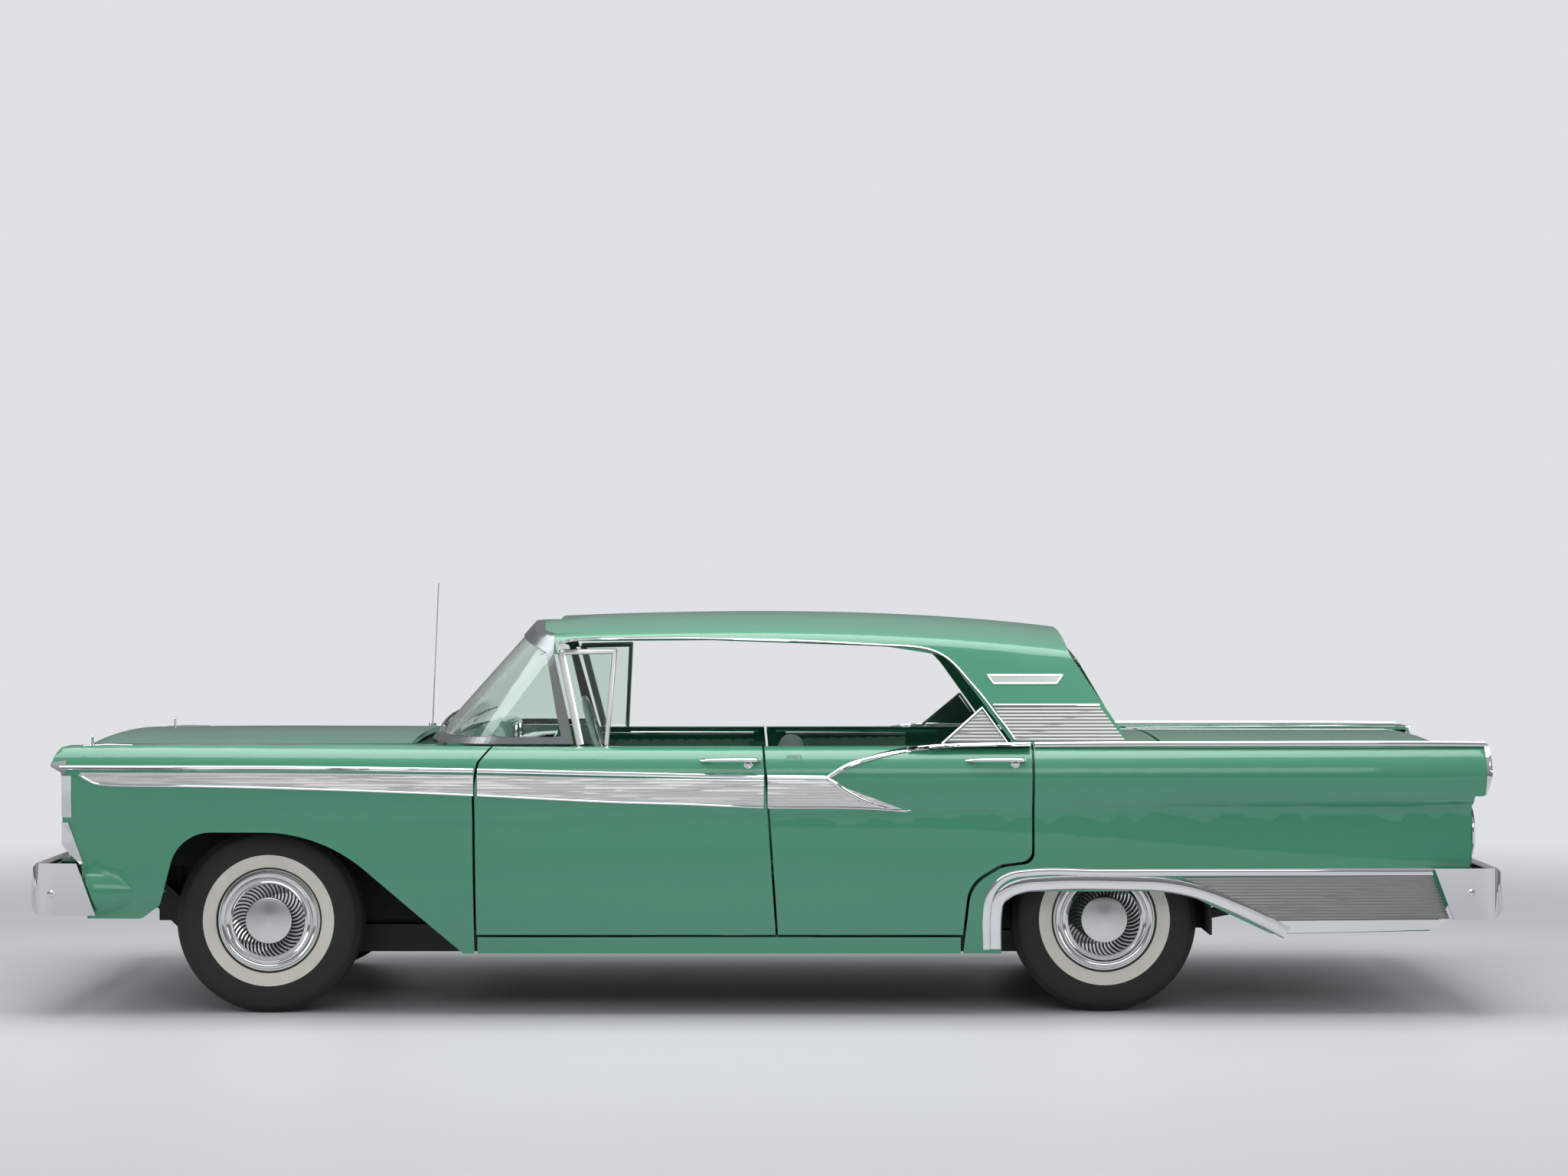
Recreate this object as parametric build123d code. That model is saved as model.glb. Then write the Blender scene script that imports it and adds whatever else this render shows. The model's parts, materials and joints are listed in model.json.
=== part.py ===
from build123d import *
from math import cos, sin, radians
import os

# A 1950s four-door hardtop car. Millimetres, +X forward, +Y to the driver's
# left, +Z up. The origin is on the ground under the middle of the car.

# Overall sizes and stance
OVERALL_LENGTH = 5286
WHEELBASE = 2997
FRONT_AXLE_X = 1785
REAR_AXLE_X = FRONT_AXLE_X - WHEELBASE
FRONT_TRACK = 1499
REAR_TRACK = 1433

# Tyres, wheels and covers
TYRE_RADIUS = 332
TYRE_WIDTH = 190
RIM_RADIUS = 184
RIM_WIDTH = 150
COVER_RADIUS = 177
VANE_OUTER_RADIUS = 132
VANE_INNER_RADIUS = 84
VANE_COUNT = 36
VANE_TWIST = 14
VANE_SLOT = 4.5
VANE_DEPTH = 7
SPINDLE_CLEARANCE = 0.05
TYRE_SEAT = 0.3

# Body levels and wall thicknesses
BELT_Z = 957
SILL_Z = 222
SILL_CORNER_Z = 250
DOOR_BOTTOM_Z = 285
WIDE_Z = 850
BELLY_Z = 500
LEDGE_DROP = 14
PANEL_WALL = 12
DOOR_WALL = 72
PANEL_GAP = 9
SEAT_GAP = 0.3
UPPER_BOUND_Z = 1100
INNER_BOUND_Y = 560

# Body side sections, in the columns that side_section reads
SIDE_SECTIONS = [
    # x, crown z, crown y, wide y, crease z, tuck, ledge, belly y, sill y
    (2620, 952, 868, 928, 700, 10, 3, 910, 885),
    (1785, 960, 882, 960, 700, 10, 3, 944, 908),
    (1040, 957, 888, 970, 715, 10, 3, 954, 914),
    (0, 956, 890, 973, 735, 10, 3, 957, 916),
    (-900, 958, 890, 972, 752, 16, 6, 951, 913),
    (-1800, 963, 880, 962, 757, 28, 20, 928, 897),
    (-2640, 965, 860, 940, 760, 40, 32, 892, 868),
]

# Seams between the side panels in side view: x, z, corner radius
LOWER_BOUND_Z = 195
FRONT_SEAM = [(982, BELT_Z, 0), (1026, 905, 40), (1042, 820, 120), (1037, LOWER_BOUND_Z, 0)]
MIDDLE_SEAM = [(13, BELT_Z, 0), (-4, 760, 300), (-42, LOWER_BOUND_Z, 0)]
REAR_SEAM = [(-946, BELT_Z, 0), (-946, 552, 40), (-830, 536, 80), (-722, 470, 120), (-692, LOWER_BOUND_Z, 0)]

# Wheel openings and lower edges of the fender and quarter in side view
FRONT_OPENING = [(1051, LOWER_BOUND_Z, 0), (1583, 655, 560), (2090, 655, 150), (2160, 395, 30), (2225, 346, 40)]
NOSE_OUTLINE = [(2420, 346, 0), (2440, 540, 30), (2506, 610, 30), (2506, 868, 12), (2548, 890, 8),
                (2536, 930, 20), (2420, UPPER_BOUND_Z, 0)]
REAR_OPENING = [(-835, LOWER_BOUND_Z - PANEL_GAP / 2, 0), (-835, 445, 70), (-1470, 446, 300), (-1800, 290, 60)]
TAIL_OUTLINE = [(-2372, 300, 30), (-2505, 520, 0), (-2520, 782, 0), (-2560, 782, 20), (-2578, 860, 60),
                (-2572, UPPER_BOUND_Z, 0)]

# Hood and trunk lid: a crowned panel that rolls down at its free end
HOOD_HALF_WIDTH = 700
HOOD_REAR_X = 1290
HOOD_ROLL_X = 2400
HOOD_ROLL_RADIUS = 165
HOOD_ROLL_ANGLE = 62
HOOD_WALL = 20
HOOD_CENTRE_Z = 984
HOOD_EDGE_Z = 960
LID_HALF_WIDTH = 640
LID_FRONT_X = -1440
LID_ROLL_X = -2400
LID_ROLL_RADIUS = 124
LID_WALL = 20
LID_CENTRE_Z = 975
LID_EDGE_Z = 959
LID_FACE_BOTTOM_Z = 640

# Greenhouse: x, roof centre z, rail z, rail y
ROOF_SECTIONS = [
    (1400, 1384, 1290, 682),
    (900, 1412, 1318, 696),
    (130, 1434, 1338, 706),
    (-600, 1418, 1318, 700),
    (-1340, 1340, 1240, 690),
]
HOUSE_FOOT_Y = 905
HOUSE_FOOT_Z = 900
ROOF_WALL = 26
ROOF_EDGE_RADIUS = 80
ROOF_OVER_DOOR_Z = 965
WINDSHIELD_GLASS = 6
SIDE_OPENING = [(640, 900, 0), (773, 1330, 10), (200, 1334, 0), (-430, 1312, 200), (-655, 1276, 120),
                (-888, BELT_Z, 0), (-888, 900, 0)]
ROOF_PROFILE = [(1100, 900, 0), (1100, 1600, 0), (-1072, 1600, 0), (-1092, 1290, 60), (-1304, BELT_Z, 0),
                (-1304, 900, 0)]

# Windshield: base and top plan curves
GLASS_BASE_Z = 957
GLASS_TOP_Z = 1400
GLASS_BASE = dict(centre_x=1265, corner_x=1135, corner_y=862, corner_radius=250)
GLASS_TOP = dict(centre_x=868, corner_x=790, corner_y=655, corner_radius=160)
GLASS_BACK_X = 560
FRAME_OUT = 8
FRAME_IN = 22
FRAME_BASE_Z = 966
COWL_SIDE_INNER_Y = 770
COWL_SIDE_Y = 806
FRAME_BASE_TOP = 990
PILLAR_OUTLINE = [(723, 940, 0), (756, 1070, 60), (800, 1292, 0), (775, 1292, 0), (685, 940, 0)]
HEADER_REAR_X = 772
HEADER_LOW_Z = 1284
HEADER_OUTLINE = [(HEADER_REAR_X, HEADER_LOW_Z, 0), (798, 1290, 0), (960, 1371, 0), (1000, 1460, 0),
                  (HEADER_REAR_X, 1460, 0)]
GLASS_OUTLINE = [(1400, FRAME_BASE_TOP, 0), (1400, 1400, 0), (1020, 1400, 0), (801, 1290, 0), (759, 1070, 60),
                 (745, FRAME_BASE_TOP, 20)]

# Door hinges, posts and vent windows
DOOR_HINGE_Y = 944
FRONT_HINGE_X = 936
REAR_HINGE_X = -112
HINGE_LEVELS = (540, 760)
HINGE_ROOM = 60
HINGE_PIN_RADIUS = 5
HINGE_BARREL_RADIUS = 9.5
HINGE_CLEARANCE = 0.05
DOOR_SWING_RADIUS = 140
DOOR_SWING_TOP_Z = 460
POST_INNER_Y = 770
POST_OUTER_Y = 825
POST_TOP_Z = 900
MIDDLE_POST_X = 16
VENT_CORNERS = [(668, 940), (747, 1294), (550, 1298), (574, 940)]
VENT_BASE_Y = 856
VENT_TUBE = 7
GLASS_SLOT_DEPTH = 25

# Hinges of the hood and the trunk lid
COVER_GAP = 12
COVER_HINGE_Y = 580
COVER_PIN_RADIUS = 5
COVER_BARREL_RADIUS = 10
HOOD_HINGE_X = HOOD_REAR_X + 14
HOOD_HINGE_Z = 953
HOOD_ARM_LOW_Z = HOOD_HINGE_Z - 53
LID_HINGE_X = LID_FRONT_X - 54
LID_HINGE_Z = 947
LID_ARM_LOW_Z = LID_HINGE_Z - 85

# Bulge of the front fender behind the bumper
NOSE_POD_FRONT_X = 2440
NOSE_POD_REAR_X = 2150
NOSE_POD_RADIUS = 94
NOSE_POD_Y = 856
NOSE_POD_Z = 438
NOSE_SOLID_X = 2512
TAIL_SOLID_X = -2558

# Chassis
RAIL_Y = 430
RAIL_WIDTH = 70
RAIL_HEIGHT = 100
RAIL_LOW_Z = 182
RAIL_FRONT_Z = 400
RAIL_REAR_Z = 420
RAIL_END_X = 2548
FLOOR_Z = 285
FLOOR_WALL = 12
FIREWALL_X = 1150
TUNNEL_HALF_WIDTH = 150
TUNNEL_TOP_Z = 420
CABIN_HALF_WIDTH = 800
SEAT_HALF_WIDTH = 655

# Bumpers: top, bottom and depth of the bar
FRONT_BUMPER_TOP = 545
FRONT_BUMPER_BOTTOM = 360
REAR_BUMPER_TOP = 527
REAR_BUMPER_BOTTOM = 345
BUMPER_WALL = 16
BUMPER_CORNER_RADIUS = 110
BUMPER_HALF_WIDTH = 950
BUMPER_ROOM = 9
BUMPER_BOW = 12
BUMPER_LEAN = 44
BUMPER_FLANGE = 10
FRONT_WRAP = [(2384, FRONT_BUMPER_BOTTOM), (2452, FRONT_BUMPER_TOP)]
REAR_WRAP = [(2439, REAR_BUMPER_BOTTOM), (2371, REAR_BUMPER_TOP)]

# Front face: panel, grille and lamps
FACE_X = 2478
FACE_WALL = 14
VALANCE_HALF_WIDTH = 745
GRILLE_HALF = 885
GRILLE_CENTRE_HALF = 545
GRILLE_LOW_Z = 566
GRILLE_SHOULDER_Z = 696
GRILLE_TOP_Z = 872
GRILLE_RIM = 12
GRILLE_DEPTH = 14
GRILLE_PITCH_Y = 34
GRILLE_PITCH_Z = 26
GRILLE_BAR = 3
LAMP_Z = 786
LAMP_PLACES = (-829, -646, 646, 829)
LAMP_BODY_RADIUS = 72
LAMP_BEZEL_RADIUS = 86
LAMP_LENS_RADIUS = 68
LAMP_DOME_RADIUS = 190

# Tail panel, lamps, deck and shelf
TAIL_X = -2516
TAIL_LAMP_Y = 778
TAIL_LAMP_Z = 650
TAIL_LAMP_BODY_RADIUS = 84
TAIL_LAMP_RING_RADIUS = 104
TAIL_LAMP_LENS_RADIUS = 88
DECK_FRONT_X = -1296
SHELF_FRONT_X = -1096
SHELF_Z = 905

# Floor, wheelhouses, cross members and springs
FLOOR_HALF_WIDTH = 768
APRON_TOP_Z = 888
TRUNK_REAR_X = -2440
WHEELHOUSE_INNER_Y = 596
WHEELHOUSE_OUTER_Y = 858
WHEELHOUSE_RADIUS = 372
WHEELHOUSE_WALL = 8
CROSS_MEMBERS = [
    # front x, rear x, low z, high z
    (1700, 1870, 190, 290),
    (2180, 2256, 290, 380),
    (600, 680, 200, 282),
    (-700, -620, 200, 282),
    (-2380, -2300, 420, 519),
]
SPRING_HANGERS = [(-610, -540, 200, 282), (-1900, -1840, 370, 470)]
SPRING_RADIUS = 58
SPRING_COILS = 6

# Suspension, axle and steering
KINGPIN_Y = 690
KINGPIN_RADIUS = 13
PIN_RADIUS = 9
LOWER_ARM_Z = 234
UPPER_ARM_Z = 446
ARM_THICKNESS = 24
BALL_JOINT_RADIUS = 14
SPINDLE_RADIUS = 16
SPINDLE_END_Y = 790
AXLE_RADIUS = 38
DIFFERENTIAL_RADIUS = 125
SHAFT_RADIUS = 38
SPRING_Y = 540
SPRING_WIDTH = 60
COLUMN_Y = 400
COLUMN_TOP = (615, 918)
COLUMN_LEAN = 18
COLUMN_LENGTH = 545
COLUMN_RADIUS = 22
STEERING_RIM_RADIUS = 205
STEERING_RIM_TUBE = 10
STEERING_PIN_RADIUS = 8

# Engine, radiator, exhaust and tank
ENGINE_FRONT_X = 1960
ENGINE_REAR_X = 1240
ENGINE_HALF_WIDTH = 290
ENGINE_BOTTOM_Z = 290
ENGINE_TOP_Z = 850
GEARBOX_REAR_X = 560
EXHAUST_Y = -300
EXHAUST_Z = 172
EXHAUST_RADIUS = 24
TAIL_PIPE_Z = 300
TAIL_PIPE_BORE = 21
EXHAUST_ROUTE = [(1240, EXHAUST_Z), (-920, EXHAUST_Z), (-1066, 440), (-1420, 440), (-1560, TAIL_PIPE_Z),
                 (-2500, TAIL_PIPE_Z)]
TANK_HALF_WIDTH = 262
ANTENNA_TIP_Z = 1541
MUFFLER_RADIUS = 62


def outline(rows, y=0):
    """A closed side-view face at y from rows of x, z and corner radius."""
    points = [(x, y, z) for x, z, _ in rows]
    radii = [radius for _, _, radius in rows]
    return Face(Wire(FilletPolyline(*points, radius=radii, close=True).edges()))


def plate(rows, y0, y1):
    """A side-view outline made solid from y0 to y1."""
    return extrude(outline(rows, y0), amount=y1 - y0, dir=(0, 1, 0))


def bar(rows, x0, x1):
    """A cross-section of y, z and corner radius made solid from x0 to x1."""
    points = [(x0, y, z) for y, z, _ in rows]
    radii = [radius for _, _, radius in rows]
    face = Face(Wire(FilletPolyline(*points, radius=radii, close=True).edges()))
    return extrude(face, amount=x1 - x0, dir=(1, 0, 0))


def slab(rows, z0, z1):
    """A plan outline of x, y and corner radius made solid from z0 to z1."""
    points = [(x, y, z0) for x, y, _ in rows]
    radii = [radius for _, _, radius in rows]
    face = Face(Wire(FilletPolyline(*points, radius=radii, close=True).edges()))
    return extrude(face, amount=z1 - z0, dir=(0, 0, 1))


def block(x0, x1, y0, y1, z0, z1):
    """A box between two corners."""
    centre = Pos((x0 + x1) / 2, (y0 + y1) / 2, (z0 + z1) / 2)
    return centre * Box(abs(x1 - x0), abs(y1 - y0), abs(z1 - z0))


def rod(start, end, radius):
    """A round bar between two points."""
    line = Vector(end) - Vector(start)
    return Plane(origin=start, z_dir=line) * Pos(0, 0, line.length / 2) * Cylinder(radius, line.length)


def ring(rows):
    """A solid turned about the Y axis through the origin, from rows of y and radius."""
    points = [(radius, y, 0) for y, radius in rows]
    return revolve(Face(Wire.make_polygon(points, close=True)), axis=Axis.Y)


def mirrored(shape):
    """The same piece on the other side of the car."""
    return mirror(shape, about=Plane.XZ)


def moved_seam(seam, dx, dz):
    """A seam shifted to one side of its gap."""
    return [(x + dx, z + dz, radius) for x, z, radius in seam]


def save(name, shape):
    """One sub-part to its own file."""
    export_step(shape, f"parts/{name}.step")


def side_section(row, inset, drop, reach, inner_y):
    """One closed cross-section of the body side, set in by a wall."""
    x, crown_z, crown_y, wide_y, crease_z, tuck, ledge, belly_y, sill_y = row
    top_z = crown_z - drop
    bottom_z = SILL_Z - reach
    crown = Vector(x, crown_y - inset, top_z)
    wide = Vector(x, wide_y - inset, WIDE_Z)
    crease = Vector(x, wide_y - inset - tuck, crease_z)
    under = crease - Vector(0, ledge, LEDGE_DROP)
    belly = Vector(x, belly_y - inset, BELLY_Z)
    sill = Vector(x, sill_y - inset, SILL_CORNER_Z)
    foot = Vector(x, sill_y - inset, bottom_z)
    inner_foot = Vector(x, inner_y, bottom_z)
    inner_top = Vector(x, inner_y, top_z)
    edges = [
        Edge.make_line(inner_top, crown),
        Edge.make_tangent_arc(wide, Vector(0, 0, 1), crown),
        Edge.make_tangent_arc(wide, Vector(0, 0, -1), crease),
        Edge.make_line(crease, under),
        Edge.make_three_point_arc(under, belly, sill),
        Edge.make_line(sill, foot),
        Edge.make_line(foot, inner_foot),
        Edge.make_line(inner_foot, inner_top),
    ]
    return Wire(edges)


def side_body(inset=0, drop=0, reach=0, inner_y=INNER_BOUND_Y):
    """The body side as one solid, from the tail to the nose."""
    wires = [side_section(row, inset, drop, reach, inner_y) for row in SIDE_SECTIONS]
    return Solid.make_loft(wires)


def crowned_section(x, centre_z, edge_z, half_width, wall):
    """One closed cross-section of a hood or lid, crowned on both faces."""
    top = Edge.make_three_point_arc((x, -half_width, edge_z), (x, 0, centre_z), (x, half_width, edge_z))
    low = Edge.make_three_point_arc(
        (x, -half_width, edge_z - wall), (x, 0, centre_z - wall), (x, half_width, edge_z - wall))
    left = Edge.make_line((x, half_width, edge_z), (x, half_width, edge_z - wall))
    right = Edge.make_line((x, -half_width, edge_z), (x, -half_width, edge_z - wall))
    return Wire([top, left, low, right])


def house_section(row, inset):
    """One closed cross-section of the roof and its leaning sides."""
    x, peak_z, rail_z, rail_y = row
    foot_y = HOUSE_FOOT_Y - inset
    side_y = rail_y - inset
    corner_z = rail_z + 22 - inset
    edges = [
        Edge.make_line((x, -foot_y, HOUSE_FOOT_Z), (x, -side_y, corner_z)),
        Edge.make_three_point_arc((x, -side_y, corner_z), (x, 0, peak_z - inset), (x, side_y, corner_z)),
        Edge.make_line((x, side_y, corner_z), (x, foot_y, HOUSE_FOOT_Z)),
        Edge.make_line((x, foot_y, HOUSE_FOOT_Z), (x, -foot_y, HOUSE_FOOT_Z)),
    ]
    face = Face(Wire(edges))
    corners = [v for v in face.vertices() if v.Z > HOUSE_FOOT_Z + 10]
    return face.fillet_2d(ROOF_EDGE_RADIUS - inset, corners).outer_wire()


def house(inset=0):
    """The roof and pillars as one closed solid."""
    return Solid.make_loft([house_section(row, inset) for row in ROOF_SECTIONS])


def glass_plan(z, offset, centre_x, corner_x, corner_y, corner_radius):
    """A plan curve of the wrap-round windshield, closed behind it."""
    front = corner_x + offset
    side = corner_y + offset
    edges = [
        Edge.make_three_point_arc((front, -side, z), (centre_x + offset, 0, z), (front, side, z)),
        Edge.make_line((front, side, z), (GLASS_BACK_X, side, z)),
        Edge.make_line((GLASS_BACK_X, side, z), (GLASS_BACK_X, -side, z)),
        Edge.make_line((GLASS_BACK_X, -side, z), (front, -side, z)),
    ]
    face = Face(Wire(edges))
    corners = [v for v in face.vertices() if v.X > GLASS_BACK_X + 10]
    return face.fillet_2d(corner_radius + offset, corners).outer_wire()


def glass_body(offset=0):
    """Everything behind the windshield's surface, moved out by an offset."""
    low = glass_plan(GLASS_BASE_Z, offset, **GLASS_BASE)
    high = glass_plan(GLASS_TOP_Z, offset, **GLASS_TOP)
    return Solid.make_loft([low, high], ruled=True)


def below(z):
    """Everything lower than a level."""
    return block(-3000, 3000, -1200, 1200, -50, z)


def above(z):
    """Everything higher than a level."""
    return block(-3000, 3000, -1200, 1200, z, 1800)


def nose_pod():
    """Bullet-shaped bulge behind the end of the front bumper."""
    middle = (NOSE_POD_REAR_X + 0.4 * (NOSE_POD_FRONT_X - NOSE_POD_REAR_X), 0, 0.78 * NOSE_POD_RADIUS)
    tip = (NOSE_POD_REAR_X, 0, 0)
    rim = (NOSE_POD_FRONT_X, 0, NOSE_POD_RADIUS)
    centre = (NOSE_POD_FRONT_X, 0, 0)
    edges = [Edge.make_three_point_arc(tip, middle, rim), Edge.make_line(rim, centre), Edge.make_line(centre, tip)]
    return Pos(0, NOSE_POD_Y, NOSE_POD_Z) * revolve(Face(Wire(edges)), axis=Axis.X)


def front_fender(side, side_inner):
    """Left front fender: crowned top, crease, wheel opening and nose."""
    rear_edge = moved_seam(FRONT_SEAM, PANEL_GAP / 2, 0)
    rows = [(rear_edge[0][0], UPPER_BOUND_Z, 0)] + rear_edge + FRONT_OPENING + NOSE_OUTLINE
    panel = (side & plate(rows, INNER_BOUND_Y, 1000)) - side_inner
    panel -= block(HOOD_REAR_X - 600, 2700, 500, HOOD_HALF_WIDTH + PANEL_GAP, 100, 1100)
    panel -= block(900, FIREWALL_X, 500, COWL_SIDE_Y + 8, 880, 1100)
    panel += nose_pod() & plate(rows, INNER_BOUND_Y, 1000)
    (low_x, low_z), (high_x, high_z) = FRONT_WRAP
    lean = (high_x - low_x) / (high_z - low_z)
    room = [(low_x - BUMPER_ROOM - 40 * lean, low_z - 40, 0), (high_x - BUMPER_ROOM + 14 * lean, high_z + 14, 0),
            (2700, high_z + 14, 0), (2700, low_z - 40, 0)]
    return panel - plate(room, BUMPER_HALF_WIDTH - BUMPER_WALL - 8, 1000)


def quarter_panel(side, side_inner):
    """Left rear quarter: fin along the top, door edge, skirted wheel opening."""
    door_edge = moved_seam(REAR_SEAM, -PANEL_GAP / 2, -PANEL_GAP / 2)
    rows = [(door_edge[0][0], UPPER_BOUND_Z, 0)] + door_edge + REAR_OPENING + TAIL_OUTLINE
    panel = (side & plate(rows, INNER_BOUND_Y, 1000)) - side_inner
    panel -= block(LID_FRONT_X, -3000, 500, LID_HALF_WIDTH + PANEL_GAP, 100, 1100)
    return panel - block(-900, LID_FRONT_X, 500, CABIN_HALF_WIDTH, 100, 1100)


def door_slab(side, door_inner, front_edge, rear_edge):
    """One left door between two seams, as thick as the whole door."""
    front = moved_seam(front_edge, -PANEL_GAP / 2, 0)
    rear = moved_seam(rear_edge, PANEL_GAP / 2, PANEL_GAP / 2)
    rows = [(front[0][0], UPPER_BOUND_Z, 0)] + front + rear[::-1] + [(rear[0][0], UPPER_BOUND_Z, 0)]
    slab_ = (side & plate(rows, INNER_BOUND_Y, 1000)) - door_inner
    return slab_ - below(DOOR_BOTTOM_Z + PANEL_GAP / 2)


def hinge_pocket(door, hinge_x):
    """Room at each hinge inside a left door, with the door's own pin across it."""
    for z in HINGE_LEVELS:
        door -= block(hinge_x - 16, hinge_x + 130, 780,
                      DOOR_HINGE_Y + HINGE_BARREL_RADIUS + 1, z - HINGE_ROOM / 2, z + HINGE_ROOM / 2)
        door += Pos(hinge_x, DOOR_HINGE_Y, z) * Cylinder(HINGE_PIN_RADIUS, HINGE_ROOM + 4)
    return door


def hinge_arms(hinge_x, post_x):
    """Body-side arms of a left door's hinges, reaching from the post to the pins."""
    arms = []
    for z in HINGE_LEVELS:
        barrel = HINGE_BARREL_RADIUS
        arm = block(hinge_x - barrel, hinge_x + barrel, POST_OUTER_Y - 30, DOOR_HINGE_Y, z - 9, z + 9)
        arm += block(hinge_x - barrel, post_x, POST_OUTER_Y - 30, POST_OUTER_Y, z - 9, z + 9)
        arm += Pos(hinge_x, DOOR_HINGE_Y, z) * Cylinder(HINGE_BARREL_RADIUS, 18)
        arm -= Pos(hinge_x, DOOR_HINGE_Y, z) * Cylinder(HINGE_PIN_RADIUS + HINGE_CLEARANCE, 40)
        arms.append(arm)
    return arms


def side_glass_y(z):
    """Where the leaning side glass stands at a level."""
    lean = (GLASS_TOP["corner_y"] - GLASS_BASE["corner_y"]) / (GLASS_TOP_Z - GLASS_BASE_Z)
    return VENT_BASE_Y + lean * (z - GLASS_BASE_Z)


def vent_frame():
    """Bright tube frame of the left front vent window."""
    corners = [Vector(x, side_glass_y(z), z) for x, z in VENT_CORNERS]
    frame = rod(corners[0], corners[1], VENT_TUBE)
    for start, end in zip(corners[1:], corners[2:]):
        frame += Pos(*start) * Sphere(VENT_TUBE)
        frame += rod(start, end, VENT_TUBE)
    return frame


def front_door(side, door_inner):
    """Left front door with its glass slot, hinge room and vent frame."""
    door = door_slab(side, door_inner, FRONT_SEAM, MIDDLE_SEAM)
    door -= block(VENT_CORNERS[3][0] - 14, 40, VENT_BASE_Y - 7, VENT_BASE_Y + 7, BELT_Z - GLASS_SLOT_DEPTH, 1100)
    door = hinge_pocket(door, FRONT_HINGE_X)
    return door + vent_frame()


def rear_door(side, door_inner):
    """Left rear door with its glass slot and hinge room."""
    door = door_slab(side, door_inner, MIDDLE_SEAM, REAR_SEAM)
    door -= block(-30, -900, VENT_BASE_Y - 7, VENT_BASE_Y + 7, BELT_Z - GLASS_SLOT_DEPTH, 1100)
    return hinge_pocket(door, REAR_HINGE_X)


def sill_side(side):
    """Left rocker, hinge posts and hinge arms."""
    rocker = side & block(-690, 1030, 845, 1000, 200, DOOR_BOTTOM_Z - PANEL_GAP / 2)
    front_post = block(FRONT_HINGE_X - 30, 1034, POST_INNER_Y, POST_OUTER_Y, 240, POST_TOP_Z)
    swing = Pos(FRONT_HINGE_X, DOOR_HINGE_Y, DOOR_SWING_TOP_Z / 2) * Cylinder(DOOR_SWING_RADIUS, DOOR_SWING_TOP_Z)
    front_post -= swing
    middle_post = block(MIDDLE_POST_X, MIDDLE_POST_X + 64, POST_INNER_Y, POST_OUTER_Y, 240, POST_TOP_Z)
    foot = block(-660, 1034, POST_INNER_Y, 850, 240, DOOR_BOTTOM_Z - PANEL_GAP / 2)
    side_frame = rocker + foot + front_post + middle_post
    for arm in hinge_arms(FRONT_HINGE_X, FRONT_HINGE_X + 12) + hinge_arms(REAR_HINGE_X, MIDDLE_POST_X + 10):
        side_frame += arm
    return side_frame


def hood():
    """Crowned hood with a rolled nose and its hinge pins."""
    section = Face(crowned_section(HOOD_ROLL_X, HOOD_CENTRE_Z, HOOD_EDGE_Z, HOOD_HALF_WIDTH, HOOD_WALL))
    panel = extrude(section, amount=HOOD_ROLL_X - HOOD_REAR_X, dir=(-1, 0, 0))
    roll_axis = Axis((HOOD_ROLL_X, 0, HOOD_EDGE_Z - HOOD_ROLL_RADIUS), (0, 1, 0))
    panel += revolve(section, axis=roll_axis, revolution_arc=HOOD_ROLL_ANGLE)
    for y in (-COVER_HINGE_Y, COVER_HINGE_Y):
        panel = cover_hinge_leaf(panel, HOOD_HINGE_X, HOOD_HINGE_Z, y)
    return panel


def trunk_lid():
    """Crowned trunk lid that rolls down into its rear face, with its hinge pins."""
    section = Face(crowned_section(LID_ROLL_X, LID_CENTRE_Z, LID_EDGE_Z, LID_HALF_WIDTH, LID_WALL))
    panel = extrude(section, amount=LID_FRONT_X - LID_ROLL_X, dir=(1, 0, 0))
    roll_axis = Axis((LID_ROLL_X, 0, LID_EDGE_Z - LID_ROLL_RADIUS), (0, -1, 0))
    roll = revolve(section, axis=roll_axis, revolution_arc=90)
    face = roll.faces().sort_by(Axis.Z)[0]
    fall = LID_EDGE_Z - LID_ROLL_RADIUS - LID_FACE_BOTTOM_Z
    panel += roll
    panel += extrude(face, amount=fall, dir=(0, 0, -1))
    for y in (-COVER_HINGE_Y, COVER_HINGE_Y):
        panel = cover_hinge_leaf(panel, LID_HINGE_X, LID_HINGE_Z, y)
    return panel


def cover_hinge_leaf(panel, x, z, y):
    """A cover with a pocket at its hinge, two lugs and the pin across them."""
    across = Pos(x, y, z) * Rot(90, 0, 0)
    panel -= across * Cylinder(COVER_BARREL_RADIUS + 2, 36)
    panel -= block(x - 22, x + 22, y - 18, y + 18, z - 40, z)
    for shift in (-22, 22):
        panel += block(x - 9, x + 9, y + shift - 4, y + shift + 4, z - 9, z + 9)
    return panel + across * Cylinder(COVER_PIN_RADIUS, 50)


def cover_hinge_arm(x, z, y, base_x, base_z):
    """The body's arm that a cover's hinge pin turns in, slim on the side that the cover's edge drops to."""
    across = Pos(x, y, z) * Rot(90, 0, 0)
    way = 1 if base_x > x else -1
    arm = across * Cylinder(COVER_BARREL_RADIUS, 30)
    arm += block(x - way * COVER_BARREL_RADIUS, x + way * 2, y - 15, y + 15, base_z, z)
    arm += block(x, base_x, y - 15, y + 15, base_z, base_z + 22)
    riser_x = base_x - way * 20
    arm += block(base_x, riser_x, y - 15, y + 15, base_z, z)
    return arm - across * Cylinder(COVER_PIN_RADIUS + HINGE_CLEARANCE, 80)


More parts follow.
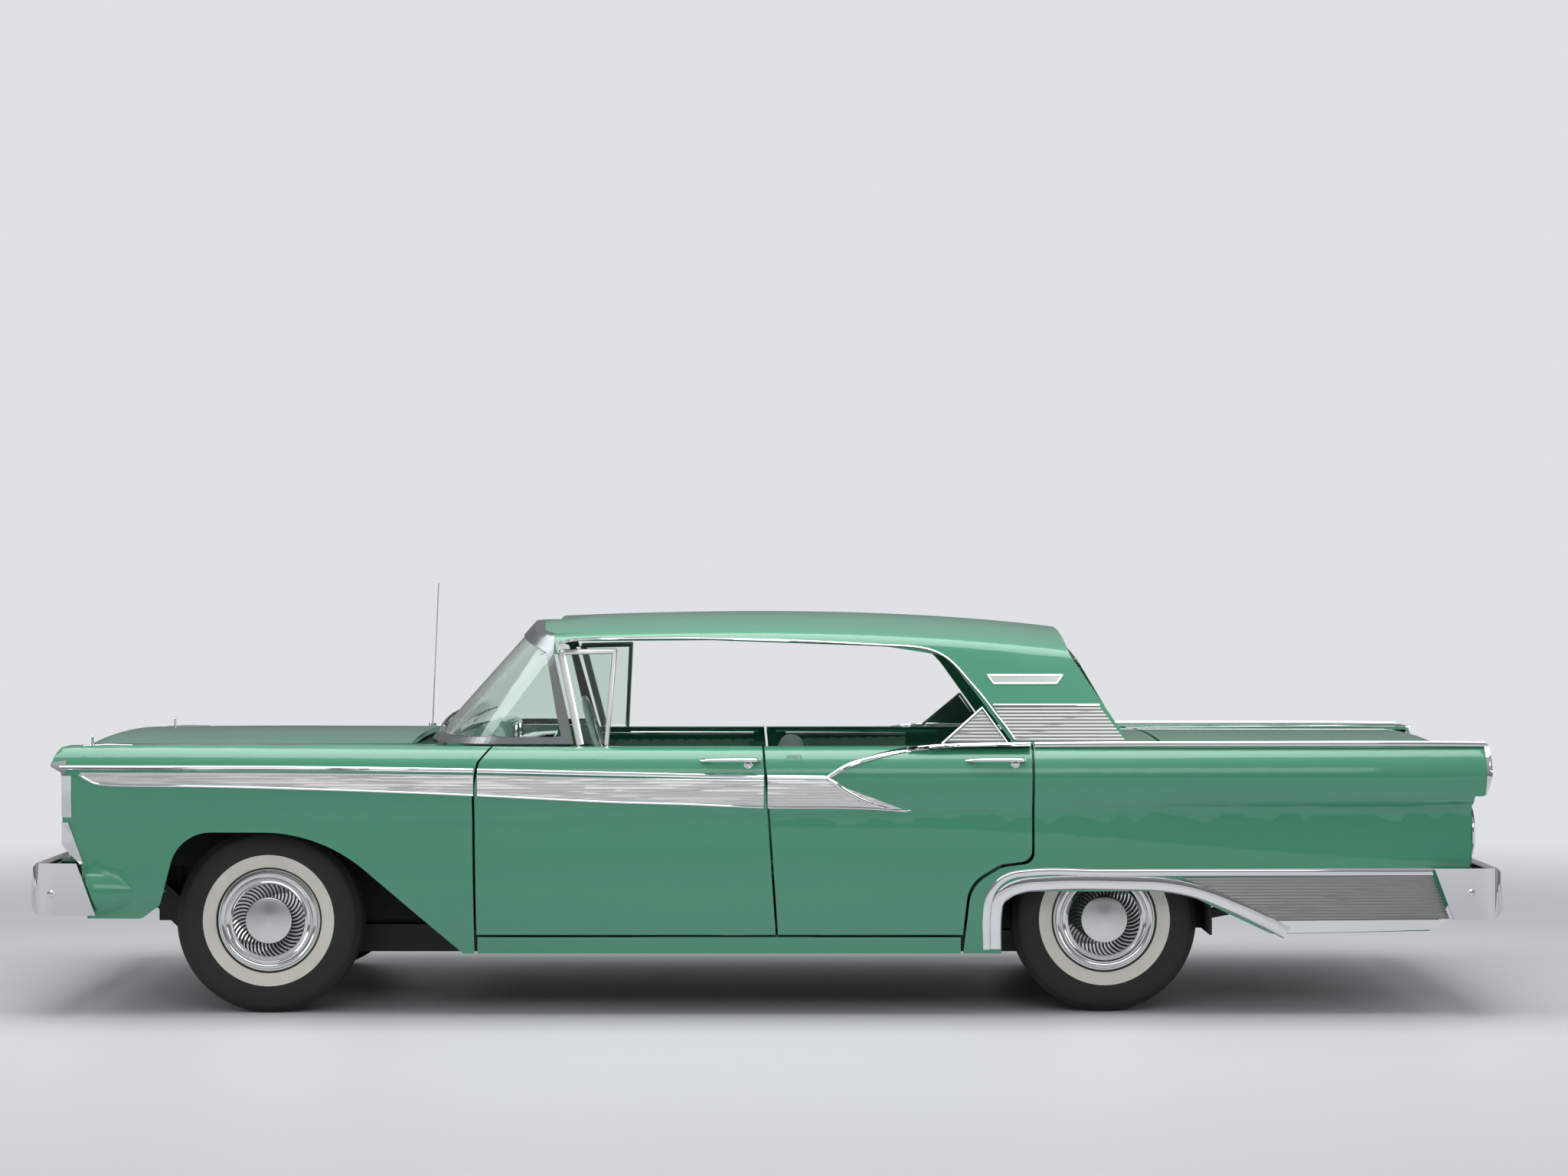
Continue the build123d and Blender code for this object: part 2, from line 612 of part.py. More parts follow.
def cowl():
    """Panel in front of the windshield with the firewall shelf and hinge arms."""
    rows = [(HOOD_REAR_X - COVER_GAP, 955, 0), (1120, 955, 0), (1120, 905, 0), (1150, 890, 0),
            (HOOD_REAR_X - COVER_GAP, 890, 20)]
    panel = plate(rows, -HOOD_HALF_WIDTH, HOOD_HALF_WIDTH)
    for way in (-1, 1):
        inner, outer = way * COWL_SIDE_INNER_Y, way * COWL_SIDE_Y
        panel += block(700, 1150, inner, outer, POST_TOP_Z, FRAME_BASE_Z - SEAT_GAP)
        panel += block(1120, 1150, way * 690, outer, POST_TOP_Z, 955)
    for y in (-COVER_HINGE_Y, COVER_HINGE_Y):
        panel += cover_hinge_arm(HOOD_HINGE_X, HOOD_HINGE_Z, y, HOOD_REAR_X - COVER_GAP - 20,
                                 HOOD_ARM_LOW_Z)
    return panel


def roof(side_grown):
    """Roof panel and the broad rear pillars."""
    shell = house() - house(ROOF_WALL)
    shell &= plate(ROOF_PROFILE, -950, 950)
    shell -= plate(SIDE_OPENING, -950, 950)
    shell -= block(HEADER_REAR_X - SEAT_GAP, 1500, -950, 950, 800, 1600) - glass_body(-FRAME_IN - SEAT_GAP)
    shell -= block(GLASS_BACK_X + 40, HEADER_REAR_X, -950, 950, 800, HEADER_LOW_Z + SEAT_GAP)
    door_top = REAR_SEAM[0][0] - PANEL_GAP / 2
    shell -= block(door_top, SIDE_OPENING[-1][0] + 10, -950, 950, 800, ROOF_OVER_DOOR_Z)
    return shell - side_grown - mirrored(side_grown)


def windshield_frame():
    """Bright frame of the windshield: base rail, leaning posts and header."""
    shell = glass_body(FRAME_OUT) - glass_body(-FRAME_IN)
    shell &= block(GLASS_BACK_X + 30, 1400, -950, 950, FRAME_BASE_Z, 1500)
    base = shell & block(700, 1400, -950, 950, FRAME_BASE_Z, FRAME_BASE_TOP)
    for way in (-1, 1):
        base += block(705, 760, way * (COWL_SIDE_INNER_Y + 5), way * 840, FRAME_BASE_Z, FRAME_BASE_Z + 14)
    header = shell & plate(HEADER_OUTLINE, -950, 950) & house(1)
    posts = shell & plate(PILLAR_OUTLINE, -950, 950)
    return base + header + posts


def windshield():
    """The wrap-round windshield glass."""
    pane = glass_body() - glass_body(-WINDSHIELD_GLASS)
    return pane & plate(GLASS_OUTLINE, -950, 950)


def rear_window():
    """The rear window between the broad pillars."""
    rows = [(-1040, 1420, 0), (-1290, 966, 0), (-1283, 962, 0), (-1032, 1418, 0)]
    return plate(rows, -900, 900) & house(ROOF_WALL + 1)


def inside_body(shape, fit):
    """The part of a cross piece that fits between the walls of the body sides."""
    middle = shape & block(-3000, 3000, -INNER_BOUND_Y, INNER_BOUND_Y, 0, 1800)
    return middle + (shape & fit) + (shape & mirrored(fit))


def lattice(boundary, x0, x1, cells):
    """A flat lattice in a cross-section boundary, with a hole for each cell."""
    points = [(x0, y, z) for y, z in boundary]
    holes = []
    for y0, y1, z0, z1 in cells:
        holes.append(Wire.make_polygon([(x0, y0, z0), (x0, y0, z1), (x0, y1, z1), (x0, y1, z0)], close=True))
    face = Face(Wire.make_polygon(points, close=True), holes)
    return extrude(face, amount=x1 - x0, dir=(1, 0, 0))


def grille_cells(half_width, z0, z1):
    """Even openings of the grille between two levels."""
    columns = round(2 * (half_width - GRILLE_RIM) / GRILLE_PITCH_Y)
    rows = round((z1 - z0) / GRILLE_PITCH_Z)
    pitch_y = 2 * (half_width - GRILLE_RIM) / columns
    pitch_z = (z1 - z0) / rows
    cells = []
    for column in range(columns):
        for row in range(rows):
            y = -half_width + GRILLE_RIM + column * pitch_y
            z = z0 + row * pitch_z
            cells.append((y + GRILLE_BAR, y + pitch_y - GRILLE_BAR, z + GRILLE_BAR, z + pitch_z - GRILLE_BAR))
    return cells


def grille():
    """Full-width lattice grille, taller between the lamps."""
    boundary = [(-GRILLE_HALF, GRILLE_LOW_Z), (GRILLE_HALF, GRILLE_LOW_Z), (GRILLE_HALF, GRILLE_SHOULDER_Z),
                (GRILLE_CENTRE_HALF, GRILLE_SHOULDER_Z), (GRILLE_CENTRE_HALF, GRILLE_TOP_Z),
                (-GRILLE_CENTRE_HALF, GRILLE_TOP_Z), (-GRILLE_CENTRE_HALF, GRILLE_SHOULDER_Z),
                (-GRILLE_HALF, GRILLE_SHOULDER_Z)]
    low = grille_cells(GRILLE_HALF, GRILLE_LOW_Z + GRILLE_RIM, GRILLE_SHOULDER_Z - GRILLE_RIM)
    high = grille_cells(GRILLE_CENTRE_HALF, GRILLE_SHOULDER_Z - GRILLE_RIM, GRILLE_TOP_Z - GRILLE_RIM)
    return lattice(boundary, FACE_X + SEAT_GAP, FACE_X + GRILLE_DEPTH, low + high)


def nose_panel(fit):
    """Body front panel with the grille opening and four lamp bores."""
    outer = [(-920, 548, 0), (920, 548, 0), (920, 884, 0), (-920, 884, 0)]
    panel = bar(outer, FACE_X - FACE_WALL, FACE_X)
    panel -= bar([(-GRILLE_HALF + 30, GRILLE_LOW_Z + 14, 0), (GRILLE_HALF - 30, GRILLE_LOW_Z + 14, 0),
                  (GRILLE_HALF - 30, GRILLE_SHOULDER_Z - 14, 0), (-GRILLE_HALF + 30, GRILLE_SHOULDER_Z - 14, 0)],
                 FACE_X - 40, FACE_X + 10)
    panel -= bar([(-GRILLE_CENTRE_HALF + 14, GRILLE_LOW_Z + 14, 0), (GRILLE_CENTRE_HALF - 14, GRILLE_LOW_Z + 14, 0),
                  (GRILLE_CENTRE_HALF - 14, GRILLE_TOP_Z - 14, 0), (-GRILLE_CENTRE_HALF + 14, GRILLE_TOP_Z - 14, 0)],
                 FACE_X - 40, FACE_X + 10)
    for y in LAMP_PLACES:
        panel -= Pos(FACE_X, y, LAMP_Z) * Rot(0, 90, 0) * Cylinder(LAMP_BODY_RADIUS + SEAT_GAP, 100)
    panel += plate([(FACE_X - FACE_WALL, 548, 0), (FACE_X + 40, 548, 0), (FACE_X + 40, 560, 0),
                    (FACE_X - FACE_WALL, 560, 0)], -880, 880)
    valance = plate([(2400, 380, 0), (2412, 380, 0), (FACE_X, 548, 0), (FACE_X - FACE_WALL, 548, 0)],
                    -VALANCE_HALF_WIDTH, VALANCE_HALF_WIDTH)
    for way in (-1, 1):
        valance -= block(2300, 2700, way * (RAIL_Y - RAIL_WIDTH), way * (RAIL_Y + RAIL_WIDTH), 300, 530)
    return inside_body(panel + valance, fit)


def headlamps():
    """Four round lamps with raised bezels."""
    lamps = []
    for y in LAMP_PLACES:
        lamp = Cylinder(LAMP_BODY_RADIUS, 50) + Pos(0, 0, 33) * Cylinder(LAMP_BEZEL_RADIUS, 16)
        rim = lamp.edges().filter_by(GeomType.CIRCLE).sort_by(Axis.Z)[-1]
        lamp = lamp.fillet(8, [rim])
        lamp -= Pos(0, 0, 41) * Cylinder(LAMP_LENS_RADIUS, 12)
        dome = Pos(0, 0, 35 - LAMP_DOME_RADIUS + 14) * Sphere(LAMP_DOME_RADIUS)
        lamp += dome & (Pos(0, 0, 41) * Cylinder(LAMP_LENS_RADIUS, 24))
        lamps.append(Pos(FACE_X - 25 + SEAT_GAP, y, LAMP_Z) * Rot(0, 90, 0) * lamp)
    return Compound(lamps)


def tail_and_deck(fit):
    """Tail panel between the quarters and the deck ahead of the trunk lid."""
    outer = [(-940, 535, 0), (940, 535, 0), (940, 782, 0), (LID_HALF_WIDTH + COVER_GAP, 782, 0),
             (LID_HALF_WIDTH + COVER_GAP, LID_FACE_BOTTOM_Z - COVER_GAP, 0),
             (-LID_HALF_WIDTH - COVER_GAP, LID_FACE_BOTTOM_Z - COVER_GAP, 0),
             (-LID_HALF_WIDTH - COVER_GAP, 782, 0), (-940, 782, 0)]
    tail = bar(outer, TAIL_X, TAIL_X + PANEL_WALL)
    for y in (-TAIL_LAMP_Y, TAIL_LAMP_Y):
        tail -= Pos(TAIL_X, y, TAIL_LAMP_Z) * Rot(0, 90, 0) * Cylinder(TAIL_LAMP_BODY_RADIUS + SEAT_GAP, 60)
    tail = inside_body(tail, fit)
    front = LID_FRONT_X + COVER_GAP
    section = Face(crowned_section(front, LID_CENTRE_Z, LID_EDGE_Z, LID_HALF_WIDTH, LID_WALL))
    deck = extrude(section, amount=DECK_FRONT_X - front, dir=(1, 0, 0))
    shelf = plate([(DECK_FRONT_X, 938, 0), (DECK_FRONT_X, 950, 0), (SHELF_FRONT_X, SHELF_Z, 0),
                   (SHELF_FRONT_X, SHELF_Z - 12, 0)], -CABIN_HALF_WIDTH + 20, CABIN_HALF_WIDTH - 20)
    deck += shelf
    side = CABIN_HALF_WIDTH - SEAT_GAP
    for way in (-1, 1):
        deck += block(front, DECK_FRONT_X, way * (LID_HALF_WIDTH - 1), way * side, LID_EDGE_Z - LID_WALL, LID_EDGE_Z)
    for y in (-COVER_HINGE_Y, COVER_HINGE_Y):
        deck += cover_hinge_arm(LID_HINGE_X, LID_HINGE_Z, y, front + 20, LID_ARM_LOW_Z)
    return Compound([tail, deck])


def tail_lamps():
    """Two round tail lamps with stepped bright rings."""
    lamps = []
    for y in (-TAIL_LAMP_Y, TAIL_LAMP_Y):
        rows = [(0, 0), (0, TAIL_LAMP_BODY_RADIUS), (30, TAIL_LAMP_BODY_RADIUS), (30, TAIL_LAMP_RING_RADIUS),
                (38, TAIL_LAMP_RING_RADIUS), (44, TAIL_LAMP_RING_RADIUS - 9), (38, TAIL_LAMP_LENS_RADIUS),
                (44, TAIL_LAMP_LENS_RADIUS - 4), (47, TAIL_LAMP_LENS_RADIUS - 30), (50, 22), (56, 20), (58, 0)]
        lamp = revolve(Face(Wire.make_polygon([(radius, 0, z) for z, radius in rows], close=True)), axis=Axis.Z)
        lamps.append(Pos(TAIL_X + 30 - SEAT_GAP, y, TAIL_LAMP_Z) * Rot(0, -90, 0) * lamp)
    return Compound(lamps)


def bumper(top, bottom, wrap_rows, brace_x):
    """Front bumper: crowned bar with wrapped ends and a hollow back."""
    reach = OVERALL_LENGTH / 2
    half = BUMPER_HALF_WIDTH
    plan = [(reach - 400, -half, 0), (reach - BUMPER_BOW, -half, BUMPER_CORNER_RADIUS), (reach, 0, 0),
            (reach - BUMPER_BOW, half, BUMPER_CORNER_RADIUS), (reach - 400, half, 0)]
    inner = [(x - BUMPER_WALL, y - BUMPER_WALL * (y > 0) + BUMPER_WALL * (y < 0), max(radius - BUMPER_WALL, 0))
             for x, y, radius in plan]
    inner[0] = (plan[0][0] - 20, inner[0][1], 0)
    inner[-1] = (plan[-1][0] - 20, inner[-1][1], 0)
    middle = (top + bottom) / 2
    face = Edge.make_three_point_arc((reach - BUMPER_LEAN, -1000, top), (reach, -1000, middle),
                                     (reach - BUMPER_LEAN, -1000, bottom))
    back_rows = [Vector(x, -1000, z) for x, z in wrap_rows]
    back = [face @ 1] + back_rows + [face @ 0]
    profile = Face(Wire([face] + [Edge.make_line(a, b) for a, b in zip(back, back[1:])]))
    section = extrude(profile, amount=2000, dir=(0, 1, 0))
    shell = slab(plan, bottom, top) - slab(inner, bottom + BUMPER_FLANGE, top - BUMPER_FLANGE)
    shell -= block(0, reach - 90, -half + BUMPER_WALL, half - BUMPER_WALL, 0, 1000)
    shell &= section
    for way in (-1, 1):
        y0, y1 = way * (RAIL_Y - 20), way * (RAIL_Y + 20)
        shell += block(brace_x, reach - BUMPER_BOW - BUMPER_WALL + 12, y0, y1, middle - 30, middle + 30)
    return shell


def chassis_frame():
    """Ladder frame: two side rails with kick-ups and four cross members."""
    height = RAIL_HEIGHT
    low = RAIL_LOW_Z
    rows = [(RAIL_END_X, RAIL_FRONT_Z, 0), (RAIL_END_X, RAIL_FRONT_Z + height, 0), (2290, RAIL_FRONT_Z + height, 60),
            (2060, low + height, 60), (-880, low + height, 60), (-1010, RAIL_REAR_Z + height, 60),
            (-RAIL_END_X, RAIL_REAR_Z + height, 0), (-RAIL_END_X, RAIL_REAR_Z, 0), (-1080, RAIL_REAR_Z, 60),
            (-950, low, 60), (2080, low, 60), (2310, RAIL_FRONT_Z, 60)]
    frame = plate(rows, RAIL_Y - RAIL_WIDTH / 2, RAIL_Y + RAIL_WIDTH / 2)
    frame += plate(rows, -RAIL_Y - RAIL_WIDTH / 2, -RAIL_Y + RAIL_WIDTH / 2)
    inner = RAIL_Y - RAIL_WIDTH / 2 + 1
    for x0, x1, z0, z1 in CROSS_MEMBERS:
        frame += block(x0, x1, -inner, inner, z0, z1)
    for way in (-1, 1):
        y0, y1 = way * (RAIL_Y - RAIL_WIDTH / 2), way * (RAIL_Y + RAIL_WIDTH / 2)
        frame += block(1700, 1870, y0, y1, low + height - 1, UPPER_ARM_Z + ARM_THICKNESS / 2)
    return frame


def underbody():
    """Floor, tunnel, firewall, rear floor and rear wheelhouses."""
    wall = FLOOR_WALL
    low = RAIL_LOW_Z + RAIL_HEIGHT
    rear = RAIL_REAR_Z + RAIL_HEIGHT
    rows = [(FIREWALL_X + wall, 890, 0), (FIREWALL_X + wall, low, 20), (-868, low, 60), (-998, rear, 60),
            (TRUNK_REAR_X, rear, 0), (TRUNK_REAR_X, rear + wall, 0), (-990, rear + wall, 50),
            (-860, low + wall, 50), (FIREWALL_X, low + wall, 20), (FIREWALL_X, 890, 0)]
    floor = plate(rows, -FLOOR_HALF_WIDTH, FLOOR_HALF_WIDTH)
    tunnel = [(-TUNNEL_HALF_WIDTH, low, 0), (-TUNNEL_HALF_WIDTH, TUNNEL_TOP_Z, 60),
              (TUNNEL_HALF_WIDTH, TUNNEL_TOP_Z, 60), (TUNNEL_HALF_WIDTH, low, 0)]
    hollow = [(-TUNNEL_HALF_WIDTH + wall, low - 20, 0), (-TUNNEL_HALF_WIDTH + wall, TUNNEL_TOP_Z - wall, 50),
              (TUNNEL_HALF_WIDTH - wall, TUNNEL_TOP_Z - wall, 50), (TUNNEL_HALF_WIDTH - wall, low - 20, 0)]
    floor += bar(tunnel, -1000, FIREWALL_X)
    floor -= bar(hollow, -1010, FIREWALL_X + wall + 10)
    floor += Pos(REAR_AXLE_X, 0, rear + wall / 2) * Box(340, 300, 70)
    floor -= Pos(REAR_AXLE_X, 0, TYRE_RADIUS) * Rot(90, 0, 0) * Cylinder(DIFFERENTIAL_RADIUS + 70, 260)
    for way in (-1, 1):
        floor = (floor - wheelhouse(way, 0)) + wheelhouse(way, WHEELHOUSE_WALL)
        floor = floor - wheelhouse(way, 0)
    floor -= block(REAR_AXLE_X - 60, REAR_AXLE_X + 60, -620, 620, 200, TYRE_RADIUS + 75)
    floor -= Pos(FIREWALL_X, COLUMN_Y, 0) * block(-60, 60, -COLUMN_RADIUS - 1, COLUMN_RADIUS + 1, 700, 790)
    for way in (-1, 1):
        floor += front_apron(way)
    return floor


def wheelhouse(way, wall):
    """The space round a rear wheel, grown by a wall."""
    y0 = way * (WHEELHOUSE_INNER_Y - wall)
    y1 = way * (WHEELHOUSE_OUTER_Y)
    radius = WHEELHOUSE_RADIUS + wall
    drum = Pos(REAR_AXLE_X, (y0 + y1) / 2, TYRE_RADIUS) * Rot(90, 0, 0) * Cylinder(radius, abs(y1 - y0))
    drum += block(REAR_AXLE_X - radius, REAR_AXLE_X + radius, y0, y1, 180, TYRE_RADIUS)
    return drum & above(RAIL_LOW_Z + RAIL_HEIGHT if wall else 0)


def front_apron(way):
    """Inner panel beside the engine, open round the suspension."""
    inner = RAIL_Y + RAIL_WIDTH / 2 + SEAT_GAP
    rows = [(FIREWALL_X + 1, 300, 0), (FIREWALL_X + 1, APRON_TOP_Z, 0), (2440, APRON_TOP_Z, 0), (2440, 500, 0), (1600, 500, 60),
            (1560, 300, 0)]
    return plate(rows, way * inner, way * (inner + 8))


def front_suspension():
    """Upper and lower arms, with ribbed spring towers between them."""
    pieces = []
    for way in (-1, 1):
        root = RAIL_Y + RAIL_WIDTH / 2
        arms = []
        for z in (LOWER_ARM_Z, UPPER_ARM_Z):
            rows = [(FRONT_AXLE_X - 120, way * root, 0), (FRONT_AXLE_X + 120, way * root, 0),
                    (FRONT_AXLE_X + BALL_JOINT_RADIUS, way * KINGPIN_Y, 0),
                    (FRONT_AXLE_X - BALL_JOINT_RADIUS, way * KINGPIN_Y, 0)]
            arm = slab(rows, z - ARM_THICKNESS / 2, z + ARM_THICKNESS / 2)
            eye = Pos(FRONT_AXLE_X, way * KINGPIN_Y, z)
            arm += eye * Cylinder(BALL_JOINT_RADIUS, ARM_THICKNESS)
            arm -= eye * Cylinder(PIN_RADIUS + SPINDLE_CLEARANCE, 60)
            arms.append(arm)
        spring = Pos(FRONT_AXLE_X, way * (root + 90), 0) * coil_spring()
        pieces.append(arms[0] + arms[1] + spring)
    return Compound(pieces)


def coil_spring():
    """A spring drawn as a ribbed column, coil on coil, round its damper."""
    z0 = LOWER_ARM_Z + ARM_THICKNESS / 2 - 1
    z1 = UPPER_ARM_Z - ARM_THICKNESS / 2 + 1
    pitch = (z1 - z0) / SPRING_COILS
    rows = [(0, z0)]
    for coil in range(SPRING_COILS):
        rows += [(SPRING_RADIUS - 14, z0 + coil * pitch), (SPRING_RADIUS, z0 + (coil + 0.3) * pitch),
                 (SPRING_RADIUS, z0 + (coil + 0.7) * pitch)]
    rows += [(SPRING_RADIUS - 14, z1), (0, z1)]
    return revolve(Face(Wire.make_polygon([(radius, 0, z) for radius, z in rows], close=True)), axis=Axis.Z)


def knuckle():
    """Left steering knuckle: king pin, spindle and steering arm."""
    z0 = LOWER_ARM_Z + ARM_THICKNESS / 2 + SEAT_GAP
    z1 = UPPER_ARM_Z - ARM_THICKNESS / 2 - SEAT_GAP
    place = Pos(FRONT_AXLE_X, KINGPIN_Y, 0)
    post = place * Pos(0, 0, (z0 + z1) / 2) * Cylinder(KINGPIN_RADIUS, z1 - z0)
    ends = (LOWER_ARM_Z - ARM_THICKNESS / 2 + 1, UPPER_ARM_Z + ARM_THICKNESS / 2 - 1)
    post += place * Pos(0, 0, sum(ends) / 2) * Cylinder(PIN_RADIUS, ends[1] - ends[0])
    post += rod((FRONT_AXLE_X, KINGPIN_Y, TYRE_RADIUS), (FRONT_AXLE_X, SPINDLE_END_Y, TYRE_RADIUS), SPINDLE_RADIUS)
    post += block(FRONT_AXLE_X - 125, FRONT_AXLE_X, KINGPIN_Y - 12, KINGPIN_Y + 6, 285, 301)
    return post


def rear_axle():
    """Live axle with its shaft, casing, spindles and leaf springs."""
    end = REAR_TRACK / 2 - 45
    axle = rod((REAR_AXLE_X, -end, TYRE_RADIUS), (REAR_AXLE_X, end, TYRE_RADIUS), AXLE_RADIUS)
    tip = REAR_TRACK / 2 + 40
    axle += rod((REAR_AXLE_X, -tip, TYRE_RADIUS), (REAR_AXLE_X, tip, TYRE_RADIUS), SPINDLE_RADIUS)
    axle += Pos(REAR_AXLE_X, 0, TYRE_RADIUS) * Rot(90, 0, 0) * Cylinder(DIFFERENTIAL_RADIUS, 190)
    axle += rod((REAR_AXLE_X, 0, TYRE_RADIUS), (GEARBOX_REAR_X, 0, TYRE_RADIUS), SHAFT_RADIUS)
    rail = RAIL_Y + RAIL_WIDTH / 2
    for way in (-1, 1):
        y0, y1 = way * (SPRING_Y - SPRING_WIDTH / 2), way * (SPRING_Y + SPRING_WIDTH / 2)
        for x0, x1, z0, z1 in SPRING_HANGERS:
            axle += block(x0, x1, way * rail, y1, z0, z1)
        top = Edge.make_three_point_arc((-560, y0, 262), (REAR_AXLE_X, y0, 294), (-1880, y0, 392))
        low = Edge.make_three_point_arc((-560, y0, 240), (REAR_AXLE_X, y0, 256), (-1880, y0, 370))
        ends = [Edge.make_line(top @ 0, low @ 0), Edge.make_line(top @ 1, low @ 1)]
        axle += extrude(Face(Wire([top, low] + ends)), amount=y1 - y0, dir=(0, 1, 0))
        axle += block(REAR_AXLE_X - 50, REAR_AXLE_X + 50, y0, y1, 262, TYRE_RADIUS)
    return axle


def wheel_body():
    """Steel wheel with its vaned cover, turned about Y with its outside at +Y."""
    bore = SPINDLE_RADIUS + SPINDLE_CLEARANCE
    half = RIM_WIDTH / 2
    cover = COVER_RADIUS
    rows = [(-35, bore), (-35, 52), (-40, 130), (-half, RIM_RADIUS - 8), (-half - 5, RIM_RADIUS - 4),
            (-half - 5, RIM_RADIUS + 8), (-half, RIM_RADIUS + 8), (-half, RIM_RADIUS), (half, RIM_RADIUS),
            (half, RIM_RADIUS + 8), (half + 5, RIM_RADIUS + 8), (half + 8, cover), (half + 14, cover - 6),
            (half + 8, cover - 16), (half + 12, cover - 22), (half + 2, cover - 32), (half + 9, VANE_OUTER_RADIUS),
            (half + 2, VANE_OUTER_RADIUS - 3), (half + 8, VANE_INNER_RADIUS + 3), (half + 16, VANE_INNER_RADIUS),
            (half + 26, 0), (44, 0), (44, bore)]
    wheel = ring(rows)
    for index in range(VANE_COUNT):
        wheel += Rot(0, index * 360 / VANE_COUNT, 0) * vane()
    return wheel


def vane():
    """One slanted blade of the wheel cover."""
    middle = (VANE_OUTER_RADIUS + VANE_INNER_RADIUS) / 2
    length = VANE_OUTER_RADIUS - VANE_INNER_RADIUS - 1
    blade = Pos(middle, RIM_WIDTH / 2 + 9, 0) * Rot(0, 0, -7) * Rot(0, VANE_TWIST, 0)
    return blade * Box(length, VANE_DEPTH + 4, VANE_SLOT)


def tyre_body():
    """Tyre turned about Y, with round side walls and a flat tread."""
    half = TYRE_WIDTH / 2
    bead = RIM_RADIUS + TYRE_SEAT
    points = [(bead, -half + 21), (bead + 8, -half + 20), (255, -half), (TYRE_RADIUS - 20, -half + 12),
              (TYRE_RADIUS, -half + 34), (TYRE_RADIUS, half - 34), (TYRE_RADIUS - 20, half - 12), (255, half),
              (bead + 8, half - 20), (bead, half - 21)]
    corners = [Vector(radius, y, 0) for radius, y in points]
    edges = [
        Edge.make_line(corners[0], corners[1]),
        Edge.make_three_point_arc(corners[1], corners[2], corners[3]),
        Edge.make_line(corners[3], corners[4]),
        Edge.make_line(corners[4], corners[5]),
        Edge.make_line(corners[5], corners[6]),
        Edge.make_three_point_arc(corners[6], corners[7], corners[8]),
        Edge.make_line(corners[8], corners[9]),
        Edge.make_line(corners[9], corners[0]),
    ]
    return revolve(Face(Wire(edges)), axis=Axis.Y)


def column_place():
    """The steering column's own frame, with Z up the column to the driver."""
    lean = radians(COLUMN_LEAN)
    origin = (COLUMN_TOP[0], COLUMN_Y, COLUMN_TOP[1])
    return Location(Plane(origin=origin, x_dir=(0, 1, 0), z_dir=(-cos(lean), 0, sin(lean))))


def steering_column():
    """Column tube with the pin that the steering wheel turns on."""
    column = Pos(0, 0, -COLUMN_LENGTH / 2 - 20) * Cylinder(COLUMN_RADIUS, COLUMN_LENGTH)
    column += Pos(0, 0, -10) * Cylinder(STEERING_PIN_RADIUS, 40)
    return column_place() * column


def steering_wheel():
    """Thin rim, two spokes and a dished hub."""
    rim = Torus(STEERING_RIM_RADIUS, STEERING_RIM_TUBE)
    hub = Pos(0, 0, -4) * Cylinder(42, 30)
    hub = hub.fillet(10, [hub.edges().filter_by(GeomType.CIRCLE).sort_by(Axis.Z)[-1]])
    spokes = Box(2 * STEERING_RIM_RADIUS, 26, 9)
    wheel = rim + hub + spokes
    wheel -= Pos(0, 0, -10) * Cylinder(STEERING_PIN_RADIUS + SPINDLE_CLEARANCE, 40.6)
    return column_place() * wheel


def front_seat():
    """Front bench seat on its two risers."""
    rows = [(430, 425, 0), (440, 560, 50), (20, 528, 40), (-66, 925, 45), (-190, 920, 45), (-120, 425, 0)]
    seat = plate(rows, -SEAT_HALF_WIDTH, SEAT_HALF_WIDTH)
    for way in (-1, 1):
        seat += block(-80, 380, way * 300, way * 520, RAIL_LOW_Z + RAIL_HEIGHT + FLOOR_WALL, 426)
    return seat


def rear_seat():
    """Rear bench seat against the shelf."""
    rows = [(-470, 425, 0), (-452, 545, 50), (-880, 512, 40), (-985, 895, 40), (-1085, 895, 40), (-1012, 560, 0),
            (-890, 425, 0)]
    seat = plate(rows, -SEAT_HALF_WIDTH, SEAT_HALF_WIDTH) - wheelhouse(1, WHEELHOUSE_WALL + 3)
    seat -= wheelhouse(-1, WHEELHOUSE_WALL + 3)
    for way in (-1, 1):
        seat += block(-800, -520, way * 300, way * 520, RAIL_LOW_Z + RAIL_HEIGHT + FLOOR_WALL, 426)
    return seat


def dashboard():
    """Padded dashboard with a raised hood over the dials."""
    half = COWL_SIDE_INNER_Y - SEAT_GAP
    rows = [(1110, 770, 0), (1110, 950, 0), (930, 968, 40), (900, 900, 30), (930, 780, 40)]
    dash = plate(rows, -half, half)
    cluster = plate([(1080, 900, 0), (1060, 1030, 70), (930, 1040, 30), (915, 900, 0)], COLUMN_Y - 260, COLUMN_Y + 260)
    dash += cluster
    return dash - column_place() * Pos(0, 0, -COLUMN_LENGTH / 2) * Cylinder(COLUMN_RADIUS + SEAT_GAP, COLUMN_LENGTH + 100)


def engine_block():
    """Engine and gearbox as one plain block at its real place and size."""
    engine = block(ENGINE_REAR_X, ENGINE_FRONT_X, -ENGINE_HALF_WIDTH, ENGINE_HALF_WIDTH, 420, ENGINE_TOP_Z)
    engine += block(ENGINE_REAR_X, ENGINE_FRONT_X, -170, 170, ENGINE_BOTTOM_Z, 420)
    return engine + block(GEARBOX_REAR_X, ENGINE_REAR_X + 10, -110, 110, 284, 396)


def radiator():
    """Radiator core standing on its cross member."""
    core = block(2192, 2246, -330, 330, 380, 830)
    for way in (-1, 1):
        core += block(2185, 2253, way * 330, way * 350, 380, 840)
    return core


